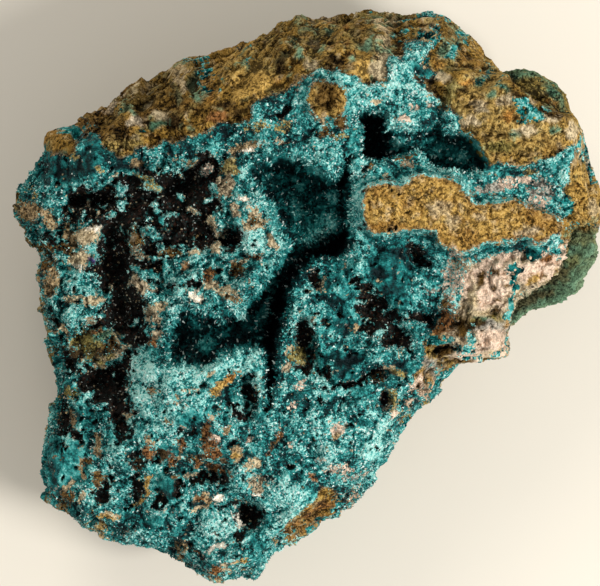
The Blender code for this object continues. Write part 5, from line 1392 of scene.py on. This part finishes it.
def weather(found, thing, p, n, x, y, drop, bend, shelf, noises):
    """Turn the lower side into brown broken rock with stray teal."""
    big, mid, tiny = noises
    edge = rim_height(inland_of(p)[0])
    deep_down = smooth((edge + 3 + 7 * big + 3 * mid - p[:, 2]) / 3.0) * smooth(drop / 1.5)
    wild = np.broadcast_to(np.array(PIGMENTS["ochre"]), p.shape)
    for amount, share, pigment in (
            (0.5 + 1.2 * mid + 0.5 * tiny, 0.7, "brown"), (1.6 * big + 0.8 * mid, 0.7, "khaki"),
            (2.5 * tiny + mid - 0.9, 0.8, "cream"), (-2.5 * tiny + mid - 0.8, 0.8, "dark"),
            (-1.6 * big + 0.8 * mid - 0.2, 0.5, "rust"), (-2.4 * mid + tiny - 0.6, 0.6, "green")):
        wild = tinted(wild, smooth(amount) * share, pigment)
    stray = smooth((1.3 * big + 0.9 * mid + 0.4 * tiny - 0.30) / 0.25)
    stray = stray * smooth((edge + 1.0 - p[:, 2]) / 2.0)
    # how far each point lies below its neighbours: the finishes paint shade into the low points and a little
    # highlight onto the high ones
    fine, wide = relief_of(thing, p, n, 6), relief_of(thing, p, n, 40)
    side_shade_relief = np.clip(0.55 * fine / 0.12 + 0.45 * wide / 0.45, -1, 1)
    kept = np.maximum(shelf, sample(pale_rock, x, y))
    change = np.maximum(deep_down, 0.35 * bend) * (1 - 0.8 * kept)
    found["stone"] += (wild - found["stone"]) * change[:, None]
    found["teal"] = (found["teal"] * (1 - deep_down) + stray * 0.9 * deep_down) * (1 - shelf)
    found["black"] *= 1 - bend
    side_tone = 0.50 + 0.3 * mid + 0.3 * tiny
    found["tone"] += (side_tone - found["tone"]) * np.maximum(0.5 * bend, deep_down)
    found["hollow"] += (side_shade_relief - found["hollow"]) * bend


def paint(thing, sides):
    p, n = points_of(thing), normals_of(thing)
    x, y, *rest = read_from_side(p, n) if sides else (p[:, 0], p[:, 1])
    found = {"teal": teal, "tone": tone, "dense": dense, "black": black, "hollow": hollow, "stone": stone}
    found = {name: sample(field, x, y) for name, field in found.items()}
    if sides:
        weather(found, thing, p, n, x, y, *rest)
    # where crystals and loose grains may grow: only on faces that look outward
    outward = smooth((n[:, 2] - 0.05) / 0.3 + 2 * np.maximum(0, (n * p).sum(axis=1) / 35 - n[:, 2]))
    felted = 1 - 0.8 * found["dense"]
    found["grow"] = found["teal"] * (1 - found["black"]) ** 2 * outward * (felted if thing is crust else 1)
    if thing is rock:
        gritty = sample(np.maximum(on_tongue, 0.9 * pale_rock), p[:, 0], p[:, 1])
        found["crumb"] = outward * (0.10 + 0.30 * gritty)
    else:
        bare = (1 - found["teal"]) * (1 - 0.6 * found["black"])
        found["crumb"] = np.maximum(bare, 0.35 * found["black"]) * outward
    for name, values in found.items():
        if values.ndim == 2:
            layer = thing.data.attributes.new(name, "FLOAT_COLOR", "POINT")
            opaque = np.concatenate([values, np.ones((len(values), 1))], axis=1)
            layer.data.foreach_set("color", opaque.astype(np.float32).ravel())
        else:
            layer = thing.data.attributes.new(name, "FLOAT", "POINT")
            layer.data.foreach_set("value", values.astype(np.float32))


def to_metres(thing):
    set_points(thing, points_of(thing) * MM)
    thing.data.polygons.foreach_set("use_smooth", [False] * len(thing.data.polygons))
    thing.data.update()


for thing in (rock, crust, vug_lining, cavity_lining):
    paint(thing, sides=thing in (rock, crust))
    to_metres(thing)
print("painted", [a.name for a in rock.data.attributes if not a.name.startswith(".")])

# %% [markdown]
# ## A small language for nodes
# Node trees are long to write out. One helper adds a node, sets its options and fills each socket with a
# number or a wire.

# %% Node helpers
FLOAT, VECTOR = "NodeSocketFloat", "NodeSocketVector"


def add(tree, kind, sockets=None, **options):
    made = tree.nodes.new(kind)
    for name, value in options.items():
        setattr(made, name, value)
    for name, value in (sockets or {}).items():
        if isinstance(value, bpy.types.NodeSocket):
            tree.links.new(value, made.inputs[name])
        else:
            made.inputs[name].default_value = value
    return made


def maths(tree, kind, *values):
    return add(tree, "ShaderNodeMath", dict(enumerate(values)), operation=kind).outputs[0]


def vectors(tree, kind, sockets):
    return add(tree, "ShaderNodeVectorMath", sockets, operation=kind).outputs[0]


def mixed(tree, factor, a, b):
    return add(tree, "ShaderNodeMix", {"Factor": factor, 6: a, 7: b}, data_type="RGBA").outputs[2]


def ranged(tree, value, low, high, to_low=0.0, to_high=1.0, kind="SMOOTHSTEP"):
    sockets = {0: value, 1: low, 2: high, 3: to_low, 4: to_high}
    return add(tree, "ShaderNodeMapRange", sockets, interpolation_type=kind).outputs[0]


def ramp(tree, value, stops):
    made = add(tree, "ShaderNodeValToRGB", {0: value})
    elements = made.color_ramp.elements
    while len(elements) < len(stops):
        elements.new(0.5)
    for element, (place, colour) in zip(elements, stops):
        element.position = place
        element.color = (*colour, 1)
    return made.outputs[0]


def new_group(name, kind, inputs, outputs):
    """An empty node group with named inputs and outputs."""
    tree = bpy.data.node_groups.new(name, kind)
    for label, socket, value in inputs:
        made = tree.interface.new_socket(label, in_out="INPUT", socket_type=socket)
        if value is not None:
            made.default_value = value
    for label, socket in outputs:
        tree.interface.new_socket(label, in_out="OUTPUT", socket_type=socket)
    return tree, tree.nodes.new("NodeGroupInput").outputs, tree.nodes.new("NodeGroupOutput").inputs


print("node helpers ready")

# %% [markdown]
# ## Shader groups shared by the minerals
# *grains* deals out two minerals grain by grain from a share. *sparkle* tilts the normal of each tiny
# cell, so that some faces flash beside dark ones. Both work in millimetres.

# %% Shader groups
grains_tree, gin, gout = new_group(
    "grains", "ShaderNodeTree",
    [("Vector", VECTOR, None), ("Share", FLOAT, 0.5), ("Size", FLOAT, 0.3), ("Mix", FLOAT, 0.5)],
    [("Mask", FLOAT), ("Random", FLOAT)])
scale = maths(grains_tree, "DIVIDE", 1.0, gin["Size"])
frizz = add(grains_tree, "ShaderNodeTexNoise", {"Vector": gin["Vector"], "Scale": scale, "Detail": 2.0})
bent = vectors(grains_tree, "SCALE", {0: frizz.outputs["Color"], 3: 0.35})
place = vectors(grains_tree, "ADD", {0: gin["Vector"], 1: bent})
cell = add(grains_tree, "ShaderNodeTexVoronoi", {"Vector": place, "Scale": scale})
pick = add(grains_tree, "ShaderNodeSeparateColor", {0: cell.outputs["Color"]}).outputs[0]
level = maths(grains_tree, "MULTIPLY_ADD", maths(grains_tree, "SUBTRACT", pick, 0.5), gin["Mix"], 0.5)
gap = maths(grains_tree, "SUBTRACT", gin["Share"], level)
grains_tree.links.new(ranged(grains_tree, gap, -0.06, 0.06), gout["Mask"])
grains_tree.links.new(pick, gout["Random"])

sparkle_tree, spark_in, spark_out = new_group(
    "sparkle", "ShaderNodeTree",
    [("Vector", VECTOR, None), ("Size", FLOAT, 0.2), ("Tilt", FLOAT, 0.5)], [("Normal", VECTOR)])
scale = maths(sparkle_tree, "DIVIDE", 1.0, spark_in["Size"])
cell = add(sparkle_tree, "ShaderNodeTexVoronoi", {"Vector": spark_in["Vector"], "Scale": scale})
centred = vectors(sparkle_tree, "SUBTRACT", {0: cell.outputs["Color"], 1: (0.5, 0.5, 0.5)})
lean = vectors(sparkle_tree, "SCALE", {0: centred, 3: spark_in["Tilt"]})
facing = add(sparkle_tree, "ShaderNodeNewGeometry").outputs["Normal"]
tilted = vectors(sparkle_tree, "ADD", {0: facing, 1: lean})
sparkle_tree.links.new(vectors(sparkle_tree, "NORMALIZE", {0: tilted}), spark_out["Normal"])
print("shader groups:", [g.name for g in bpy.data.node_groups])

# %% [markdown]
# ## The mineral material
# Rock and crust share one recipe, because grains of each run into the other. The pieces that grow on
# them use only its teal half or only its stone half.

# %% What both halves of a finish read
TEAL_STOPS = [
    (0.00, (0.0006, 0.009, 0.011)), (0.2, (0.0013, 0.032, 0.034)), (0.4, (0.0035, 0.095, 0.096)),
    (0.6, (0.015, 0.235, 0.228)), (0.8, (0.1, 0.47, 0.448)), (1.00, (0.44, 0.785, 0.725)),
]


def painted(tree, label, output="Fac"):
    return add(tree, "ShaderNodeAttribute", attribute_name=label).outputs[output]


def noisy(tree, mm, scale, detail):
    sockets = {"Vector": mm, "Scale": scale, "Detail": detail, "Roughness": 0.65}
    return add(tree, "ShaderNodeTexNoise", sockets).outputs["Fac"]


def picks(tree, mm, scale):
    """Distance to the middle of a grain, and its three random numbers."""
    grain = add(tree, "ShaderNodeTexVoronoi", {"Vector": mm, "Scale": scale}).outputs
    return grain["Distance"], add(tree, "ShaderNodeSeparateColor", {0: grain["Color"]}).outputs


def shifted(tree, value, steps):
    """value + amount * source, for each step in turn."""
    for source, amount in steps:
        value = maths(tree, "MULTIPLY_ADD", source, amount, value)
    return value


def pulled(tree, value, steps):
    """value + amount * (source - 0.5), for each step in turn."""
    return shifted(tree, value, [(maths(tree, "SUBTRACT", source, 0.5), amount) for source, amount in steps])


def readings(tree):
    """Millimetre places, painted values and noises that both halves of a finish read."""
    where = add(tree, "ShaderNodeTexCoord").outputs["Object"]
    mm = vectors(tree, "SCALE", {0: where, 3: 1000.0})
    change = painted(tree, "change")
    pit = painted(tree, "hollow")
    flake_gap, flake = picks(tree, mm, 5.2)
    return SimpleNamespace(
        mm=mm, change=change, cloud=noisy(tree, mm, 1.3, 4.0), grit=noisy(tree, mm, 4.5, 3.0),
        flake_gap=flake_gap, flake=flake, speck=picks(tree, mm, 2.9)[1],
        # painted shade where a spot lies low, a painted highlight where it stands up
        recess_shade=maths(tree, "MAXIMUM", pit, 0.0), proud=maths(tree, "MINIMUM", pit, 0.0),
        felt=maths(tree, "SUBTRACT", 1.0, painted(tree, "dense")),
        rare=maths(tree, "POWER", maths(tree, "MULTIPLY", change, 2.0), 3.0))


print("readings ready;", len(TEAL_STOPS), "stops of teal")

# %% The teal half
def teal_half(tree, at):
    """Painted tone, clouds, a step lighter or darker for each flake, painted shade in the pits, a painted
    highlight on the bumps.
    """
    value = pulled(tree, painted(tree, "tone"), (
        (at.cloud, 1.0), (at.flake[0], maths(tree, "MULTIPLY_ADD", at.felt, 0.36, 0.20)),
        (at.grit, maths(tree, "MULTIPLY_ADD", at.felt, 0.45, 0.30))))
    # painted shade in the low spots and a painted highlight on the high ones
    value = shifted(tree, value, (
        (ranged(tree, at.speck[2], 0.76, 0.88), maths(tree, "MULTIPLY", at.felt, -0.30)),
        (at.recess_shade, -0.50), (at.proud, -0.10), (at.change, 0.30), (at.rare, 0.45)))
    colour = ramp(tree, value, TEAL_STOPS)
    # painted glints: some flakes of the felt and the rarest crystals turn almost white, standing in for
    # flashes of light
    bare = maths(tree, "MULTIPLY", ranged(tree, at.flake[1], 0.88, 0.93), ranged(tree, value, 0.45, 0.75))
    bare = maths(tree, "MULTIPLY", bare, at.felt)
    bare = maths(tree, "MAXIMUM", bare, ranged(tree, at.change, 0.44, 0.46))
    return mixed(tree, maths(tree, "MULTIPLY", bare, 0.8), colour, (0.84, 0.92, 0.88, 1))


print("teal half ready")

# %% The stone half
def stone_half(tree, at, speckle):
    """The stone's own colour made brighter or darker grain by grain, with cracks, painted shade in the pits,
    a painted highlight on the bumps and near black in the voids.
    """
    wavy = add(tree, "ShaderNodeTexNoise", {"Vector": at.mm, "Scale": 1.1, "Detail": 3.0}).outputs["Color"]
    bent = vectors(tree, "ADD", {0: at.mm, 1: vectors(tree, "SCALE", {0: wavy, 3: 1.1})})

    def cracked(scale, width):
        gap = add(tree, "ShaderNodeTexVoronoi", {"Vector": bent, "Scale": scale}, feature="DISTANCE_TO_EDGE")
        return ranged(tree, gap.outputs["Distance"], 0.0, width, 1.0, 0.0)

    crack = maths(tree, "MULTIPLY", cracked(0.75, 0.07), ranged(tree, at.cloud, 0.42, 0.56))
    value = pulled(tree, 0.60, (
        (at.speck[0], speckle), (at.flake[1], 0.8 * speckle), (at.grit, 0.9), (at.cloud, 0.9),
        (noisy(tree, at.mm, 0.45, 3.0), 0.6)))
    # painted shade in the low spots and a painted highlight on the high ones
    value = shifted(tree, value, (
        (cracked(1.7, 0.10), -0.26), (crack, -0.45), (at.recess_shade, -0.60), (at.proud, -0.12),
        (at.change, 0.75), (at.rare, 0.4)))
    value = maths(tree, "MULTIPLY_ADD", maths(tree, "SUBTRACT", value, 0.55),
                  maths(tree, "MULTIPLY_ADD", at.felt, 0.6, 0.4), 0.55)
    own = painted(tree, "stone", "Color")
    # pale stone never gets as dark in its pits as brown stone does
    darkest = maths(tree, "POWER", add(tree, "ShaderNodeRGBToBW", {0: own}).outputs[0], 1.6)
    darkest = maths(tree, "MULTIPLY_ADD", darkest, 1.35, 0.03)
    bright = ranged(tree, value, 0.10, 0.95, darkest, 1.62, "LINEAR")
    faded = add(tree, "ShaderNodeGamma", {"Color": own, "Gamma": 0.72}).outputs[0]
    pale = ranged(tree, value, 0.74, 1.05, 0.0, 0.6)
    colour = mixed(tree, pale, vectors(tree, "SCALE", {0: own, 3: bright}), faded)
    # the voids are painted near black, partly a dark mineral and partly painted shade, apart from a few clean
    # grains
    void_darkening = ranged(tree, painted(tree, "black"), 0.0, 0.8, 1.0, 0.12)
    void_darkening = maths(tree, "MAXIMUM", void_darkening, ranged(tree, at.change, 0.24, 0.34, 0.0, 0.9))
    return vectors(tree, "SCALE", {0: colour, 3: void_darkening})


print("stone half ready")

# %% Minerals
def dealt(tree, mm, share, size, mix):
    sockets = {"Vector": mm, "Share": share, "Size": size, "Mix": mix}
    return add(tree, "ShaderNodeGroup", sockets, node_tree=grains_tree).outputs["Mask"]


def void_black_of(tree, at):
    """The near black of the voids, partly a dark mineral and partly painted shade, with a few brown, teal and
    clean grains.
    """
    void_black = (0.006, 0.005, 0.004, 1)
    for pick, low, high, grain in (
            (at.speck[1], 0.80, 0.90, (0.040, 0.016, 0.010, 1)),
            (at.flake[0], 0.90, 0.96, (0.012, 0.050, 0.048, 1)),
            (at.flake[2], 0.975, 0.985, (0.45, 0.50, 0.47, 1))):
        void_black = mixed(tree, ranged(tree, pick, low, high), void_black, grain)
    return void_black


def mineral(name, teal_share=None, gloss=(0.08, 0.7), tilt=0.8, grit_depth=0.00016, speckle=0.3, shine=0.2):
    """A mineral finish; a teal_share of 1 or 0 makes it all teal or all stone."""
    made = bpy.data.materials.new(name)
    made.use_nodes = True
    tree = made.node_tree
    shader = tree.nodes["Principled BSDF"]
    at = readings(tree)
    if teal_share is None:
        is_teal = dealt(tree, at.mm, painted(tree, "teal"), 0.24, 0.70)
        is_black = dealt(tree, at.mm, painted(tree, "black"), 0.26, 0.55)
        both = mixed(tree, is_teal, stone_half(tree, at, speckle), teal_half(tree, at))
        colour = mixed(tree, is_black, both, void_black_of(tree, at))
        matt = maths(tree, "SUBTRACT", 1.0, is_teal)
    else:
        colour = teal_half(tree, at) if teal_share else stone_half(tree, at, speckle)
        matt = 1.0 - teal_share
    tree.links.new(colour, shader.inputs["Base Color"])
    rough = ranged(tree, at.flake[2], 0.80, 0.90, gloss[1], gloss[0])
    rough = add(tree, "ShaderNodeMix", {"Factor": matt, 2: rough, 3: 0.85}, data_type="FLOAT").outputs[0]
    tree.links.new(rough, shader.inputs["Roughness"])
    shader.inputs["Specular IOR Level"].default_value = shine

    sockets = {"Vector": at.mm, "Size": 0.19, "Tilt": tilt}
    flash = add(tree, "ShaderNodeGroup", sockets, node_tree=sparkle_tree)
    height = maths(tree, "MULTIPLY_ADD", at.flake_gap, -0.5, at.grit)
    dents = add(tree, "ShaderNodeBump", {"Strength": 0.9, "Distance": grit_depth, "Height": height,
                                         "Normal": flash.outputs["Normal"]})
    tree.links.new(dents.outputs["Normal"], shader.inputs["Normal"])
    return made


rock_finish = mineral("weathered_rock", tilt=0.35, speckle=0.65, shine=0.05)
crust_finish = mineral("felted_crust", tilt=0.8, speckle=0.9)
druse_finish = mineral("glassy_druse", 1.0, gloss=(0.05, 0.6), tilt=0.9)
blade_finish = mineral("tyrolite_blades", 1.0, gloss=(0.06, 0.6), tilt=0.2, grit_depth=0.00003)
crystal_finish = mineral("deep_crystals", 1.0, gloss=(0.04, 0.5), tilt=0.1, grit_depth=0.00002)
grain_finish = mineral("stone_grains", 0.0, tilt=0.3, grit_depth=0.00008, speckle=0.5, shine=0.08)
for thing, look in ((rock, rock_finish), (crust, crust_finish), (vug_lining, druse_finish),
                    (cavity_lining, druse_finish)):
    thing.data.materials.clear()
    thing.data.materials.append(look)
print("finishes:", rock_finish.name, crust_finish.name, druse_finish.name)

# %% [markdown]
# ## Growing crystals and grains
# One Geometry Nodes tree scatters a small shape over a surface. Points are dense where the painted share
# is high; each shape leans off the normal by chance and gets its own size and change of tone. The result
# is read back as a plain mesh.

# %% The scatter tree
def scatter_tree(name, shape):
    tree, given, result = new_group(
        name, "GeometryNodeTree",
        [("Surface", "NodeSocketGeometry", None), ("Share", "NodeSocketString", "grow"),
         ("Per square mm", FLOAT, 10.0), ("Length", FLOAT, 0.5), ("Width", FLOAT, 0.15),
         ("Thickness", FLOAT, 0.05), ("Spread", FLOAT, 0.6), ("Lean", FLOAT, 0.6),
         ("Sunk", FLOAT, 0.1), ("Seed", "NodeSocketInt", 1), ("Finish", "NodeSocketMaterial", None)],
        [("Crystals", "NodeSocketGeometry")])
    share = add(tree, "GeometryNodeInputNamedAttribute", {"Name": given["Share"]}, data_type="FLOAT")
    density = maths(tree, "MULTIPLY", given["Per square mm"], MM ** -2)
    density = maths(tree, "MULTIPLY", density, share.outputs[0])
    points = add(tree, "GeometryNodeDistributePointsOnFaces",
                 {"Mesh": given["Surface"], "Density": density, "Seed": given["Seed"]})

    def chance(low, high, seed, kind="FLOAT"):
        at = {"FLOAT": (2, 3), "FLOAT_VECTOR": (0, 1)}[kind]
        made = add(tree, "FunctionNodeRandomValue", {at[0]: low, at[1]: high, "Seed": seed}, data_type=kind)
        return made.outputs[1 if kind == "FLOAT" else 0]

    tilt = vectors(tree, "SCALE", {0: chance((-1, -1, -1), (1, 1, 1), 5, "FLOAT_VECTOR"), 3: given["Lean"]})
    way = vectors(tree, "ADD", {0: points.outputs["Normal"], 1: tilt})
    stand = add(tree, "FunctionNodeAlignRotationToVector", {"Vector": way}, axis="Z")
    angle = chance(0.0, FULL_TURN, 6)
    spin = add(tree, "FunctionNodeAxisAngleToRotation", {"Axis": (0, 0, 1), "Angle": angle})
    turn = add(tree, "FunctionNodeRotateRotation", {0: stand.outputs[0], 1: spin.outputs[0]},
               rotation_space="LOCAL")
    size = maths(tree, "MULTIPLY_ADD", given["Spread"], chance(-1.0, 0.6, 7), 1.0)
    size = maths(tree, "MULTIPLY", size, MM)
    sides = [maths(tree, "MULTIPLY", size, given[side]) for side in ("Width", "Thickness", "Length")]
    shape_size = add(tree, "ShaderNodeCombineXYZ", dict(enumerate(sides)))
    copies = add(tree, "GeometryNodeInstanceOnPoints", {
        "Points": points.outputs["Points"], "Instance": shape(tree), "Rotation": turn.outputs[0],
        "Scale": shape_size.outputs[0]})
    down = add(tree, "ShaderNodeCombineXYZ", {2: maths(tree, "MULTIPLY", given["Sunk"], -1.0)})
    sunk = add(tree, "GeometryNodeTranslateInstances", {
        "Instances": copies.outputs[0], "Translation": down.outputs[0], "Local Space": True})
    named = add(tree, "GeometryNodeStoreNamedAttribute", {
        "Geometry": sunk.outputs[0], "Name": "change", "Value": chance(-0.5, 0.5, 8)},
        data_type="FLOAT", domain="INSTANCE")
    real = add(tree, "GeometryNodeRealizeInstances", {"Geometry": named.outputs[0]})
    dressed = add(tree, "GeometryNodeSetMaterial", {"Geometry": real.outputs[0], "Material": given["Finish"]})
    tree.links.new(dressed.outputs[0], result["Crystals"])
    return tree


def scatter(name, base, tree, **settings):
    """Run a scatter tree over a copy of `base` and keep the result as a plain mesh."""
    thing = placed(name, base.data)
    modifier = thing.modifiers.new("grow", "NODES")
    modifier.node_group = tree
    sockets = {s.name: s.identifier for s in tree.interface.items_tree if s.in_out == "INPUT"}
    for label, value in settings.items():
        modifier[sockets[label.replace("_", " ")]] = value
    bake(thing)
    thing.data.name = name
    print(name, triangle_count(thing.data), "triangles")
    return thing


# %% Shapes to scatter
def cone(tree, corners, tip):
    made = add(tree, "GeometryNodeMeshCone", {"Vertices": corners, "Radius Top": tip, "Radius Bottom": 0.5,
                                              "Depth": 1.0}, fill_type="NGON")
    return made.outputs["Mesh"]


def blade(tree):
    """A four faced spike, later flattened into a lath."""
    return cone(tree, 3, 0.0)


def prism(tree):
    """A blunt five sided crystal with a flat end that can flash."""
    return cone(tree, 5, 0.22)


def lump(tree):
    """A twenty faced pebble."""
    return add(tree, "GeometryNodeMeshIcoSphere", {"Radius": 0.5, "Subdivisions": 1}).outputs["Mesh"]


blades_tree = scatter_tree("scatter_blades", blade)
prisms_tree = scatter_tree("scatter_prisms", prism)
lumps_tree = scatter_tree("scatter_lumps", lump)
print("scatter trees:", blades_tree.name, prisms_tree.name, lumps_tree.name)

# %% Grow them
# name, base, tree, share, per square mm, length, width, thickness, lean, sunk, finish, slot
GROWTH = [
    ("crust_blades", crust, blades_tree, "grow", 11.0, 0.27, 0.22, 0.13, 2.0, 0.02, blade_finish,
     "teal_crust"),
    ("vug_crystals", vug_lining, prisms_tree, "grow", 9.0, 0.34, 0.24, 0.20, 0.8, 0.03, crystal_finish,
     "dark_teal_crystals"),
    ("cavity_crystals", cavity_lining, prisms_tree, "grow", 8.0, 0.38, 0.25, 0.20, 0.8, 0.03, crystal_finish,
     "deep_teal_crystals"),
    ("crust_grains", crust, lumps_tree, "crumb", 4.8, 0.24, 0.32, 0.22, 1.0, 0.0, grain_finish, "teal_crust"),
    ("rock_grains", rock, lumps_tree, "crumb", 3.0, 0.24, 0.42, 0.34, 0.5, 0.06, grain_finish, "host_rock"),
]
grown = []
for seed, (name, base, tree, share, many, *sizes, finish, slot) in enumerate(GROWTH, 1):
    sizes = dict(zip(("Length", "Width", "Thickness", "Lean", "Sunk"), sizes))
    made = scatter(name, base, tree, Share=share, Per_square_mm=many, Seed=seed, Finish=finish, **sizes)
    grown.append((made, slot))

# %% [markdown]
# ## Light
# A key lamp stands at the lower right, as a window would. A broader one at the upper left and a pale
# world fill the shadows.

# %% Light
def lamp(name, place, size, power, colour=(1, 1, 1)):
    data = bpy.data.lights.new(name, "AREA")
    data.shape = "DISK"
    data.size = size
    data.energy = power
    data.color = colour
    made = placed(name, data)
    made.location = place
    made.rotation_euler = Vector(place).to_track_quat("Z", "Y").to_euler()
    print("lamp", name, power, "W")


lamp("key", (0.32, -0.14, 0.36), 0.14, 2.35, (1.0, 0.975, 0.93))
lamp("fill", (-0.20, 0.50, 0.55), 0.40, 1.7, (1.0, 0.94, 0.83))
world = bpy.data.worlds.new("room")
world.use_nodes = True
sky = world.node_tree.nodes["Background"].inputs
sky["Color"].default_value = (1.0, 0.99, 0.96, 1)
sky["Strength"].default_value = 0.46
bpy.context.scene.world = world
bpy.context.scene.view_settings.view_transform = "Standard"

# %% [markdown]
# ## Onto the body
# Each piece rides on the one body. The first four also stand in for their solids, whose own meshes are
# hidden.

# %% Ride and replace
body = sorted(frame["bodies"])[0]
for thing, node, slot in ((rock, "matrix", "host_rock"), (crust, "tyrolite_crust", "teal_crust"),
                          (vug_lining, "vug_druse", "dark_teal_crystals"),
                          (cavity_lining, "cavity_druse", "deep_teal_crystals")):
    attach(thing, body)
    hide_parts(node)
for thing, slot in grown:
    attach(thing, body)
everything = [rock, crust, vug_lining, cavity_lining] + [thing for thing, _ in grown]
print("triangles in all:", sum(triangle_count(o.data) for o in everything))
